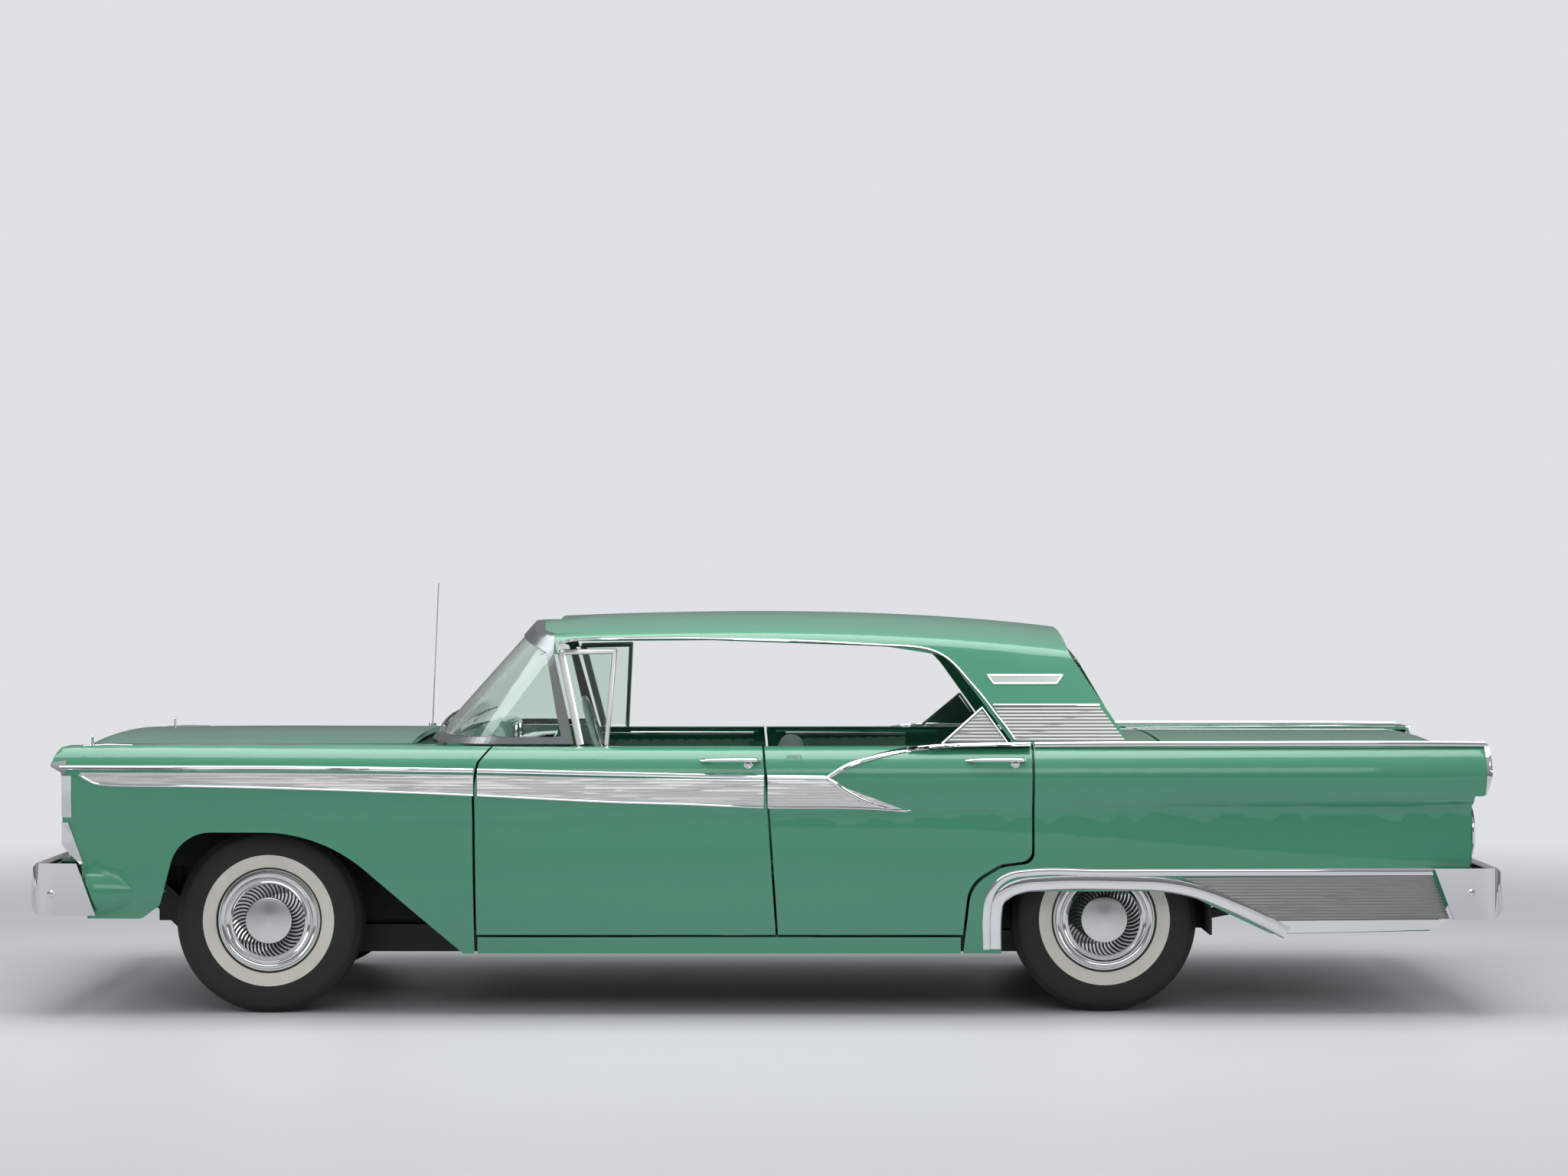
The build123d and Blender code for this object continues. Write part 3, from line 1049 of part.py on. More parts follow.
def exhaust():
    """Exhaust pipe that rises over the rear axle, with its muffler and hangers."""
    corners = [Vector(x, EXHAUST_Y, z) for x, z in EXHAUST_ROUTE]
    pipe = rod(corners[0], corners[1], EXHAUST_RADIUS)
    for start, end in zip(corners[1:], corners[2:]):
        pipe += Pos(*start) * Sphere(EXHAUST_RADIUS)
        pipe += rod(start, end, EXHAUST_RADIUS)
    pipe += rod((-30, EXHAUST_Y, EXHAUST_Z + 20), (-560, EXHAUST_Y, EXHAUST_Z + 20), MUFFLER_RADIUS)
    for x, low, high in ((640, EXHAUST_Z, 200), (-2340, TAIL_PIPE_Z, RAIL_REAR_Z)):
        pipe += block(x - 8, x + 8, EXHAUST_Y - 10, EXHAUST_Y + 10, low, high)
    return pipe - rod((-2400, EXHAUST_Y, TAIL_PIPE_Z), (-2510, EXHAUST_Y, TAIL_PIPE_Z), TAIL_PIPE_BORE)


def fuel_tank():
    """Flat tank under the trunk floor."""
    top = RAIL_REAR_Z + RAIL_HEIGHT - SEAT_GAP
    rows = [(-1760, 330, 30), (-1760, top, 0), (-2290, top, 0), (-2290, 310, 30)]
    return plate(rows, -TANK_HALF_WIDTH, TANK_HALF_WIDTH)


def antenna():
    """Whip antenna on the right front fender."""
    base = (1361, -790, 958)
    whip = rod((1361, -790, 960), (1337, -790, ANTENNA_TIP_Z), 2.5)
    cup = Pos(*base) * Pos(0, 0, 8) * Cylinder(16, 14)
    return whip + cup


def build():
    """Make every sub-part and write it out."""
    os.makedirs("parts", exist_ok=True)
    side = side_body()
    inside = side_body(PANEL_WALL, PANEL_WALL, 60, INNER_BOUND_Y - 60)
    inside &= block(TAIL_SOLID_X, NOSE_SOLID_X, 0, 1200, 0, 1200)
    door_inner = side_body(DOOR_WALL, -1, 60, INNER_BOUND_Y - 60)
    grown = side_body(-SEAT_GAP, -SEAT_GAP, 0, INNER_BOUND_Y)
    fit_gap = PANEL_WALL + 1.5 * SEAT_GAP
    fit = side_body(fit_gap, fit_gap, 60, INNER_BOUND_Y - 60)
    left_and_right = {
        "front_fender": front_fender(side, inside),
        "quarter_panel": quarter_panel(side, inside),
        "front_door": front_door(side, door_inner),
        "rear_door": rear_door(side, door_inner),
        "steering_knuckle": knuckle(),
        "front_wheel": Pos(FRONT_AXLE_X, FRONT_TRACK / 2, TYRE_RADIUS) * wheel_body(),
        "rear_wheel": Pos(REAR_AXLE_X, REAR_TRACK / 2, TYRE_RADIUS) * wheel_body(),
        "front_tyre": Pos(FRONT_AXLE_X, FRONT_TRACK / 2, TYRE_RADIUS) * tyre_body(),
        "rear_tyre": Pos(REAR_AXLE_X, REAR_TRACK / 2, TYRE_RADIUS) * tyre_body(),
    }
    for name, shape in left_and_right.items():
        save(f"{name}_left", shape)
        save(f"{name}_right", mirrored(shape))
    sill = sill_side(side)
    rear_bumper = mirror(bumper(REAR_BUMPER_TOP, REAR_BUMPER_BOTTOM, REAR_WRAP, RAIL_END_X), about=Plane.YZ)
    single = {
        "side_sills": Compound([sill, mirrored(sill)]),
        "hood": hood(),
        "trunk_lid": trunk_lid(),
        "cowl": cowl(),
        "roof": roof(grown),
        "windshield_frame": windshield_frame(),
        "windshield": windshield(),
        "rear_window": rear_window(),
        "grille": grille(),
        "nose_panel": nose_panel(fit),
        "headlamps": headlamps(),
        "tail_and_deck": tail_and_deck(fit),
        "tail_lamps": tail_lamps(),
        "front_bumper": bumper(FRONT_BUMPER_TOP, FRONT_BUMPER_BOTTOM, FRONT_WRAP, RAIL_END_X),
        "rear_bumper": rear_bumper,
        "chassis_frame": chassis_frame(),
        "underbody": underbody(),
        "front_suspension": front_suspension(),
        "rear_axle": rear_axle(),
        "steering_column": steering_column(),
        "steering_wheel": steering_wheel(),
        "front_seat": front_seat(),
        "rear_seat": rear_seat(),
        "dashboard": dashboard(),
        "engine_block": engine_block(),
        "radiator": radiator(),
        "exhaust": exhaust(),
        "fuel_tank": fuel_tank(),
        "antenna": antenna(),
    }
    for name, shape in single.items():
        save(name, shape)


build()
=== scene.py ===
"""The looks of a four-door hardtop car of the 1950s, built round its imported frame."""
import json
import math

import bmesh
import bpy
from mathutils import Matrix, Vector
from mathutils.bvhtree import BVHTree


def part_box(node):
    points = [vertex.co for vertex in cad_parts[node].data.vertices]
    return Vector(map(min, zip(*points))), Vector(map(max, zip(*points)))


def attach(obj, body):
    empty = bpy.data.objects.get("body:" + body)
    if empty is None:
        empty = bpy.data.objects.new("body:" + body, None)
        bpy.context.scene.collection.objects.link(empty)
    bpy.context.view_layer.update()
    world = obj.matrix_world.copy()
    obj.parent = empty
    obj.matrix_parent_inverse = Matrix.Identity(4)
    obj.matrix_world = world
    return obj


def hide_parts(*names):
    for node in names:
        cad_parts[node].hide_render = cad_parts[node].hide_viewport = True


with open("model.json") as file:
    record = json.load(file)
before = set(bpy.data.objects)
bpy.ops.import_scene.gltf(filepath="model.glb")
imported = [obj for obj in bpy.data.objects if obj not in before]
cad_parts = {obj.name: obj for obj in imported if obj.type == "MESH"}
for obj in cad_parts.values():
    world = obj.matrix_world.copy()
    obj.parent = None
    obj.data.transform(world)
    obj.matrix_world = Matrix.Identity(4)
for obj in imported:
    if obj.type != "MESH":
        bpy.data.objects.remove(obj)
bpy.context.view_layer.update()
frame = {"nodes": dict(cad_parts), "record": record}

# Camera: a long lens square to the driver's side, from 13 m away and a little
# above the roof, so the tops of the near fenders just show.
LENS_MM = 78.9
SENSOR_MM = 36
CAMERA_PLACE = Vector((-0.042, 13.15, 1.537))
OPTICAL_AXIS_PX = (1017, 763)
IMAGE_PX = (2048, 1536)

camera_data = bpy.data.cameras.new("camera")
camera_data.lens = LENS_MM
camera_data.sensor_width = SENSOR_MM
camera_data.shift_x = (IMAGE_PX[0] / 2 - OPTICAL_AXIS_PX[0]) / IMAGE_PX[0]
camera_data.shift_y = (OPTICAL_AXIS_PX[1] - IMAGE_PX[1] / 2) / IMAGE_PX[0]
camera = bpy.data.objects.new("camera", camera_data)
camera.location = CAMERA_PLACE
camera.rotation_euler = (math.radians(90), 0, math.radians(180))
bpy.context.collection.objects.link(camera)
bpy.context.scene.camera = camera
bpy.context.scene.view_settings.view_transform = "Standard"

# Floor and air: a pale painted studio floor that runs out of sight into the
# same pale grey, which metal and glass mirror as well.
BACKGROUND_HEX = "#DFE1E4"
FLOOR_HEX = "#D2D3D6"
AIR_STRENGTH = 0.5
FLOOR_RADIUS = 45
FADE_FROM = 3.6
FADE_TO = 9


def srgb(hex_code):
    """A hex colour as linear values with an alpha of 1."""
    parts = [int(hex_code[i:i + 2], 16) / 255 for i in (1, 3, 5)]
    return [c / 12.92 if c <= 0.04045 else ((c + 0.055) / 1.055) ** 2.4 for c in parts] + [1]


def add_node(tree, kind, inputs=None, **settings):
    """One node with its settings; an input that is a socket is linked, any other is set."""
    node = tree.nodes.new(kind)
    for name, value in settings.items():
        setattr(node, name, value)
    for name, value in (inputs or {}).items():
        if isinstance(value, bpy.types.NodeSocket):
            tree.links.new(value, node.inputs[name])
        else:
            node.inputs[name].default_value = value
    return node


def new_material(name):
    """An empty node material and its tree."""
    material = bpy.data.materials.new(name)
    material.use_nodes = True
    material.node_tree.nodes.clear()
    return material, material.node_tree


def object_point(tree, size=(1, 1, 1)):
    """The point on the piece in metres, stretched by a size."""
    place = add_node(tree, "ShaderNodeTexCoord").outputs["Object"]
    return add_node(tree, "ShaderNodeMapping", {"Vector": place, "Scale": size}).outputs["Vector"]


def surface(tree, inputs):
    """The shader and the output of a material."""
    shader = add_node(tree, "ShaderNodeBsdfPrincipled", inputs)
    add_node(tree, "ShaderNodeOutputMaterial", {"Surface": shader.outputs["BSDF"]})


floor_paint, tree = new_material("studio_floor_paint")
paint = add_node(tree, "ShaderNodeBsdfPrincipled", {"Base Color": srgb(FLOOR_HEX), "Roughness": 0.45})
glow = add_node(tree, "ShaderNodeEmission", {"Color": srgb(BACKGROUND_HEX), "Strength": 1})
distance = add_node(tree, "ShaderNodeVectorMath", {0: object_point(tree)},
                    operation="LENGTH").outputs["Value"]
far = add_node(tree, "ShaderNodeMapRange", {"Value": distance, "From Min": FADE_FROM, "From Max": FADE_TO},
               interpolation_type="SMOOTHSTEP").outputs["Result"]
rays = add_node(tree, "ShaderNodeLightPath")
seen = add_node(tree, "ShaderNodeMath", {0: rays.outputs["Is Camera Ray"], 1: rays.outputs["Is Glossy Ray"]},
                operation="MAXIMUM").outputs["Value"]
seen = add_node(tree, "ShaderNodeMath", {0: seen, 1: rays.outputs["Is Transmission Ray"]},
                operation="MAXIMUM").outputs["Value"]
mixed = add_node(tree, "ShaderNodeMath", {0: far, 1: seen}, operation="MULTIPLY").outputs["Value"]
blend = add_node(tree, "ShaderNodeMixShader",
                 {0: mixed, 1: paint.outputs["BSDF"], 2: glow.outputs["Emission"]})
add_node(tree, "ShaderNodeOutputMaterial", {"Surface": blend.outputs["Shader"]})

bm = bmesh.new()
bmesh.ops.create_circle(bm, cap_ends=True, segments=96, radius=FLOOR_RADIUS)
floor_mesh = bpy.data.meshes.new("floor")
bm.to_mesh(floor_mesh)
bm.free()
floor = bpy.data.objects.new("floor", floor_mesh)
floor.data.materials.append(floor_paint)
bpy.context.collection.objects.link(floor)

world = bpy.data.worlds.new("studio_air")
bpy.context.scene.world = world
world.use_nodes = True
tree = world.node_tree
tree.nodes.clear()
rays = add_node(tree, "ShaderNodeLightPath")
seen = add_node(tree, "ShaderNodeMath",
                {0: rays.outputs["Is Camera Ray"], 1: rays.outputs["Is Transmission Ray"]},
                operation="MAXIMUM").outputs["Value"]
height = add_node(tree, "ShaderNodeSeparateXYZ",
                  {0: add_node(tree, "ShaderNodeTexCoord").outputs["Generated"]}).outputs["Z"]
rise = add_node(tree, "ShaderNodeMapRange",
                {"Value": height, "From Min": -0.02, "From Max": 0.7, "To Min": 0.34,
                 "To Max": 1.15}).outputs["Result"]
level = add_node(tree, "ShaderNodeMath", {0: rise, 1: AIR_STRENGTH}, operation="MULTIPLY").outputs["Value"]
soft = add_node(tree, "ShaderNodeBackground", {"Color": srgb("#F2F4F6"), "Strength": level})
pale = add_node(tree, "ShaderNodeBackground", {"Color": srgb(BACKGROUND_HEX), "Strength": 1})
blend = add_node(tree, "ShaderNodeMixShader",
                 {0: seen, 1: soft.outputs["Background"], 2: pale.outputs["Background"]})
add_node(tree, "ShaderNodeOutputWorld", {"Surface": blend.outputs["Shader"]})

# Lamps: one broad softbox over the car, one high on the camera's side and two
# weak ones at the ends, all large, so that the paint shows soft bands.
LAMPS = {
    "overhead": ((0, 0.6, 4.6), (0, 0, 0), (7.5, 3.2), 250),
    "camera_side": ((0, 8.5, 4.2), (-62, 0, 0), (8.0, 2.2), 110),
    "ahead": ((7.0, 3.0, 2.6), (0, 68, 25), (3.0, 2.4), 45),
    "behind": ((-7.0, 3.0, 2.6), (0, -68, -25), (3.0, 2.4), 45),
}
for name, (place, turn, size, watts) in LAMPS.items():
    lamp_data = bpy.data.lights.new(name, "AREA")
    lamp_data.shape = "RECTANGLE"
    lamp_data.size, lamp_data.size_y = size
    lamp_data.energy = watts
    lamp = bpy.data.objects.new(name, lamp_data)
    lamp.location = place
    lamp.rotation_euler = [math.radians(angle) for angle in turn]
    bpy.context.collection.objects.link(lamp)

# Body panels: pressed steel in jade enamel, cut and polished. Each CAD panel
# is shown by a copy whose corners are joined, so that it shades smoothly.
ENAMEL_HEX = "#3A8E6C"
SMOOTH_ANGLE = math.radians(28)
WELD = 0.00002
PAINTED = ["front_fender_left", "front_fender_right", "quarter_panel_left", "quarter_panel_right",
           "front_door_left", "front_door_right", "rear_door_left", "rear_door_right", "hood", "trunk_lid",
           "cowl", "roof", "nose_panel", "tail_and_deck", "side_sills"]
node_body = {node: body for body, nodes in frame["record"]["behaviour"]["bodies"].items() for node in nodes}


def enamel(name, hex_code, grain=900):
    """Gloss enamel: an even colour under a hard clear shine, with the faint ripple of sprayed paint."""
    material, tree = new_material(name)
    ripple = add_node(tree, "ShaderNodeTexNoise", {"Vector": object_point(tree), "Scale": grain, "Detail": 1})
    bump = add_node(tree, "ShaderNodeBump",
                    {"Height": ripple.outputs["Fac"], "Strength": 0.02, "Distance": 0.0003})
    cloud = add_node(tree, "ShaderNodeTexNoise", {"Vector": object_point(tree), "Scale": 1.3, "Detail": 2})
    value = add_node(tree, "ShaderNodeMapRange",
                     {"Value": cloud.outputs["Fac"], "To Min": 0.96, "To Max": 1.04}).outputs["Result"]
    tint = add_node(tree, "ShaderNodeHueSaturation", {"Color": srgb(hex_code), "Value": value})
    surface(tree, {"Base Color": tint.outputs["Color"], "Roughness": 0.36, "IOR": 1.5, "Coat Weight": 0.9,
                   "Coat Roughness": 0.04, "Normal": bump.outputs["Normal"]})
    return material


def make_piece(name, bm, material, body, angle=SMOOTH_ANGLE):
    """A finished piece from a bmesh: shaded, finished and riding its body."""
    mesh = bpy.data.meshes.new(name)
    bm.to_mesh(mesh)
    bm.free()
    for face in mesh.polygons:
        face.use_smooth = True
    mesh.set_sharp_from_angle(angle=angle)
    mesh.materials.append(material)
    piece = bpy.data.objects.new(name, mesh)
    bpy.context.collection.objects.link(piece)
    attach(piece, body)
    return piece


def smooth_copy(node, material, angle=SMOOTH_ANGLE):
    """A joined-up copy of a CAD piece, shown in its place."""
    bm = bmesh.new()
    bm.from_mesh(frame["nodes"][node].data)
    bmesh.ops.remove_doubles(bm, verts=bm.verts, dist=WELD)
    piece = make_piece(f"{node}_shown", bm, material, node_body[node], angle)
    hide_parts(node)
    return piece


def finish_node(node, material):
    """A CAD piece that stays as it is, with its own finish."""
    shown = frame["nodes"][node]
    shown.data.materials.clear()
    shown.data.materials.append(material)


jade_enamel = enamel("jade_enamel", ENAMEL_HEX)
for node in PAINTED:
    smooth_copy(node, jade_enamel)

# Glass: curved laminated panes, clear with the faint green of plate glass, and
# the steel frame round the windshield in satin metal, darkened as a painted dark reflection.


def clear_glass(name, hex_code, rough=0.0):
    """Window glass: clear and tinted, with a sharp reflection."""
    material, tree = new_material(name)
    surface(tree, {"Base Color": srgb(hex_code), "Roughness": rough, "IOR": 1.45, "Transmission Weight": 1.0})
    return material


def bright_metal(name, hex_code, rough, grain=(60, 60, 60), depth=0.03):
    """Polished or plated metal: mirror bright, with faint cloudy wear in its roughness."""
    material, tree = new_material(name)
    cloud = add_node(tree, "ShaderNodeTexNoise",
                     {"Vector": object_point(tree, grain), "Scale": 1, "Detail": 3})
    wear = add_node(tree, "ShaderNodeMapRange", {"Value": cloud.outputs["Fac"], "To Min": rough,
                                                 "To Max": rough + depth}).outputs["Result"]
    surface(tree, {"Base Color": srgb(hex_code), "Metallic": 1.0, "Roughness": wear})
    return material


window_glass = clear_glass("laminated_glass", "#E9F4EE")
chrome_plate = bright_metal("chrome_plate", "#D9DBDD", 0.05)
satin_aluminium = bright_metal("satin_anodised_aluminium", "#D2D2D0", 0.3, (8, 8, 300), 0.12)
smooth_copy("windshield", window_glass)
smooth_copy("rear_window", window_glass)
# Painted dark reflection: this metal's grey is darker than the chrome, standing in for reflected dark
# surroundings.
post_metal_dark_painted_reflection = bright_metal("satin_post_metal", "#8A8E90", 0.24, (60, 60, 60), 0.06)
smooth_copy("windshield_frame", post_metal_dark_painted_reflection)

# Chassis and running gear: a welded steel frame, axle, arms and tank in satin
# black paint, with a dusty undercoat on the floor pan.


def matte_paint(name, hex_code, rough, grain, spread=0.12):
    """Matte or satin paint on steel or castings, uneven with dust and handling."""
    material, tree = new_material(name)
    dust = add_node(tree, "ShaderNodeTexNoise", {"Vector": object_point(tree), "Scale": grain, "Detail": 6})
    value = add_node(tree, "ShaderNodeMapRange", {"Value": dust.outputs["Fac"], "To Min": 1 - spread,
                                                  "To Max": 1 + spread}).outputs["Result"]
    tint = add_node(tree, "ShaderNodeHueSaturation", {"Color": srgb(hex_code), "Value": value})
    bump = add_node(tree, "ShaderNodeBump",
                    {"Height": dust.outputs["Fac"], "Strength": 0.2, "Distance": 0.001})
    surface(tree, {"Base Color": tint.outputs["Color"], "Roughness": rough, "Normal": bump.outputs["Normal"]})
    return material


chassis_black = matte_paint("satin_black_chassis_paint", "#1C1D1E", 0.5, 14)
undercoat = matte_paint("bitumen_undercoat", "#26292A", 0.85, 30, 0.25)
engine_paint = matte_paint("engine_enamel", "#39434A", 0.4, 18)
pipe_steel = bright_metal("aluminised_pipe_steel", "#8C8780", 0.42, (20, 20, 20), 0.2)
for node in ("chassis_frame", "front_suspension", "rear_axle", "steering_knuckle_left",
             "steering_knuckle_right",
             "fuel_tank", "radiator"):
    finish_node(node, chassis_black)
finish_node("underbody", undercoat)
finish_node("engine_block", engine_paint)
finish_node("exhaust", pipe_steel)

# Tyres: bias-ply rubber with a broad whitewall, five ribs of tread and worn
# black shoulders. Each is turned from one profile about its axle.
WHEELS = {
    "front_left": "front_tyre_left",
    "front_right": "front_tyre_right",
    "rear_left": "rear_tyre_left",
    "rear_right": "rear_tyre_right",
}
TYRE_STEPS = 120
BEAD_RADIUS = 0.1845
WHITE_INNER = 0.1895
WHITE_OUTER = 0.235
TREAD_RADIUS = 0.332
TREAD_HALF = 0.062
GROOVE_WIDTH = 0.006
GROOVE_DEPTH = 0.007
SIDE_PROFILE = [(0.0740, BEAD_RADIUS), (0.0790, 0.187), (0.0815, WHITE_INNER), (0.0880, 0.204),
                (0.0925, 0.220),
                (0.0941, WHITE_OUTER), (0.0948, 0.2365), (0.0948, 0.255), (0.0935, 0.280), (0.0895, 0.301),
                (0.0860, 0.3105), (0.0840, 0.3120), (0.0750, 0.3200), (0.0660, 0.3290)]


def rubber(name, hex_code, rough):
    """Vulcanised rubber: dull, with fine mould grain and a little dust."""
    material, tree = new_material(name)
    grain = add_node(tree, "ShaderNodeTexNoise", {"Vector": object_point(tree), "Scale": 500, "Detail": 3})
    bump = add_node(tree, "ShaderNodeBump",
                    {"Height": grain.outputs["Fac"], "Strength": 0.25, "Distance": 0.0006})
    dust = add_node(tree, "ShaderNodeTexNoise", {"Vector": object_point(tree), "Scale": 9, "Detail": 5})
    value = add_node(tree, "ShaderNodeMapRange", {"Value": dust.outputs["Fac"], "To Min": 0.86,
                                                  "To Max": 1.1}).outputs["Result"]
    tint = add_node(tree, "ShaderNodeHueSaturation", {"Color": srgb(hex_code), "Value": value})
    surface(tree, {"Base Color": tint.outputs["Color"], "Roughness": rough, "Normal": bump.outputs["Normal"]})
    return material


def turned(points, steps, closed=False):
    """A mesh spun about the Y axis from rows of y and radius."""
    bm = bmesh.new()
    verts = [bm.verts.new((0, y, radius)) for y, radius in points]
    pairs = list(zip(verts, verts[1:] + verts[:1])) if closed else list(zip(verts, verts[1:]))
    edges = [bm.edges.new(pair) for pair in pairs]
    bmesh.ops.spin(bm, geom=verts + edges, cent=(0, 0, 0), axis=(0, 1, 0), angle=math.tau, steps=steps,
                   use_merge=True)
    bmesh.ops.remove_doubles(bm, verts=bm.verts, dist=WELD)
    bmesh.ops.recalc_face_normals(bm, faces=bm.faces)
    return bm


def tread_profile():
    """The tyre's section: both side walls and the grooved tread between them."""
    grooves = []
    for place in (-0.036, -0.012, 0.012, 0.036):
        low, high = place - GROOVE_WIDTH / 2, place + GROOVE_WIDTH / 2
        grooves += [(low, TREAD_RADIUS), (low + 0.001, TREAD_RADIUS - GROOVE_DEPTH),
                    (high - 0.001, TREAD_RADIUS - GROOVE_DEPTH), (high, TREAD_RADIUS)]
    left = [(-y, radius) for y, radius in SIDE_PROFILE]
    return left + [(-TREAD_HALF, TREAD_RADIUS)] + grooves + [(TREAD_HALF, TREAD_RADIUS)] + SIDE_PROFILE[::-1]


def wheel_centre(node):
    """The middle of a CAD wheel or tyre."""
    low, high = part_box(node)
    return (low + high) / 2


black_rubber = rubber("tyre_rubber", "#222222", 0.72)
white_rubber = rubber("whitewall_rubber", "#DEDAD0", 0.5)
for place, node in WHEELS.items():
    way = 1 if place.endswith("left") else -1
    bm = turned(tread_profile(), TYRE_STEPS, closed=True)
    for face in bm.faces:
        middle = face.calc_center_median()
        radius = math.hypot(middle.x, middle.z)
        face.material_index = 1 if WHITE_INNER < radius < WHITE_OUTER and middle.y * way > 0 else 0
    bmesh.ops.translate(bm, vec=wheel_centre(node), verts=bm.verts)
    tyre = make_piece(f"tyre_{place}", bm, black_rubber, node_body[node], math.radians(40))
    tyre.data.materials.append(white_rubber)
    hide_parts(node)

# Wheel covers: spun and pressed stainless steel with a ring of curved vanes
# over a dark ground, round a shallow brushed cone, on a black steel wheel.
COVER_STEPS = 96
VANES = 44
VANE_INNER = 0.083
VANE_OUTER = 0.1285
VANE_SWEEP = math.radians(13)
VANE_RISE = 0.004
COVER_FACE = 0.084
COVER_PROFILE = [(0.0745, 0.1835), (0.0800, 0.1838), (0.0835, 0.1800), (0.0838, 0.1765), (0.0885, 0.1735),
                 (0.0890, 0.1690), (0.0850, 0.1640), (0.0843, 0.1585), (0.0880, 0.1555), (0.0882, 0.1520),
                 (0.0835, 0.1480), (0.0800, 0.1400), (0.0815, 0.1330), (0.0840, 0.1300), (0.0820, 0.1285)]
GROUND_PROFILE = [(0.0820, 0.1285), (0.0755, 0.1280), (0.0755, 0.0835), (0.0850, 0.0830)]
RIM_PROFILE = [(-0.0800, 0.1910), (-0.0800, 0.1820), (-0.0720, 0.1760), (-0.0450, 0.1680), (-0.0400, 0.1300),
               (-0.0350, 0.0520), (-0.0350, 0.0162), (-0.0280, 0.0162), (-0.0280, 0.0550), (-0.0320, 0.1300),
               (-0.0360, 0.1600), (0.0600, 0.1720), (0.0740, 0.1780), (0.0795, 0.1838), (0.0795, 0.1910),
               (0.0760, 0.1910), (0.0740, 0.1842), (-0.0740, 0.1842), (-0.0760, 0.1910)]
CONE_PROFILE = [(0.0850, 0.0830), (0.0885, 0.0820), (0.0895, 0.0780), (0.0930, 0.0500), (0.0985, 0.0)]


def brushed_disc(name, hex_code, rough):
    """Spun stainless steel: fine turned lines that spread the light into a fan."""
    material, tree = new_material(name)
    surface(tree, {"Base Color": srgb(hex_code), "Metallic": 1.0, "Roughness": rough, "Anisotropic": 0.6,
                   "Tangent": add_node(tree, "ShaderNodeTangent", direction_type="RADIAL",
                                       axis="Y").outputs[0]})
    return material


def vane_ring():
    """The curved vanes, each a strip bent from a grid and given a wall."""
    ring = bmesh.new()
    for index in range(VANES):
        before = set(ring.verts)
        bmesh.ops.create_grid(ring, x_segments=5, y_segments=1, size=0.5)
        strip = [v for v in ring.verts if v not in before]
        start = index * math.tau / VANES
        for v in strip:
            along = v.co.x + 0.5
            radius = VANE_INNER + (VANE_OUTER - VANE_INNER) * along
            width = (0.42 + 0.1 * along) * math.tau / VANES
            turn = start + VANE_SWEEP * along ** 1.6 + v.co.y * width
            lift = VANE_RISE * (v.co.y + 0.5)
            v.co = Vector((radius * math.sin(turn), COVER_FACE - 0.0035 + lift, radius * math.cos(turn)))
    wall = bmesh.ops.extrude_face_region(ring, geom=ring.faces[:])
    lower = [v for v in wall["geom"] if isinstance(v, bmesh.types.BMVert)]
    bmesh.ops.translate(ring, vec=(0, -0.003, 0), verts=lower)
    bmesh.ops.recalc_face_normals(ring, faces=ring.faces)
    return ring


spun_steel = bright_metal("polished_stainless_steel", "#D4D5D6", 0.09)
cone_steel = brushed_disc("brushed_stainless_steel", "#CFD0D1", 0.24)
dark_ground = matte_paint("dark_cover_paint", "#151616", 0.6, 60)
for place, tyre_node in WHEELS.items():
    node = tyre_node.replace("tyre", "wheel")
    way = 1 if place.endswith("left") else -1
    centre = wheel_centre(tyre_node)
    bm = turned(RIM_PROFILE, COVER_STEPS, closed=True)
    bmesh.ops.scale(bm, vec=(1, way, 1), verts=bm.verts)
    bmesh.ops.recalc_face_normals(bm, faces=bm.faces)
    bmesh.ops.translate(bm, vec=centre, verts=bm.verts)
    rim = make_piece(f"steel_wheel_{place}", bm, chassis_black, node_body[node], math.radians(35))
    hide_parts(node)
    for part, profile, material in (("cover", COVER_PROFILE, spun_steel),
                                    ("cover_ground", GROUND_PROFILE, dark_ground),
                                    ("cover_cone", CONE_PROFILE, cone_steel)):
        bm = turned(profile, COVER_STEPS)
        bmesh.ops.scale(bm, vec=(1, way, 1), verts=bm.verts)
        bmesh.ops.solidify(bm, geom=bm.faces[:], thickness=0.0008)
        bmesh.ops.recalc_face_normals(bm, faces=bm.faces)
        bmesh.ops.translate(bm, vec=centre, verts=bm.verts)
        make_piece(f"{part}_{place}", bm, material, node_body[node], math.radians(35))
    bm = vane_ring()
    if way < 0:
        bmesh.ops.scale(bm, vec=(1, way, 1), verts=bm.verts)
        bmesh.ops.reverse_faces(bm, faces=bm.faces)
    bmesh.ops.translate(bm, vec=centre, verts=bm.verts)
    make_piece(f"cover_vanes_{place}", bm, spun_steel, node_body[node], math.radians(50))

# Side spear: a long bright moulding from the nose to the rear door. Two rolled
# beads hold a ribbed insert of satin aluminium, cut at the gaps of the doors.
SIDES = {"left": 1, "right": -1}
MM = 0.001
PLATE_STEP = 0.06
FRONT_GAP_X = 1034
MIDDLE_GAP_X = 4
REAR_GAP_X = -946
TRIM_GAP = 7
SPEAR_TOP = [(2516, 885), (1633, 884), (1036, 876), (547, 865), (4, 854), (-208, 852)]
SPEAR_SECOND = [(2440, 866), (1633, 865), (1036, 859), (547, 849), (4, 841), (-214, 840)]
SPEAR_LOWER = [(2444, 860), (2415, 843), (2388, 830), (2353, 825), (1959, 819), (1633, 811), (1036, 789),
               (819, 778), (547, 765), (276, 757), (4, 746), (-322, 743), (-500, 732)]
SPEAR_RIB_PITCH = 9.5
BEAD_WIDTH = 11
BEAD_HEIGHT = 5.5


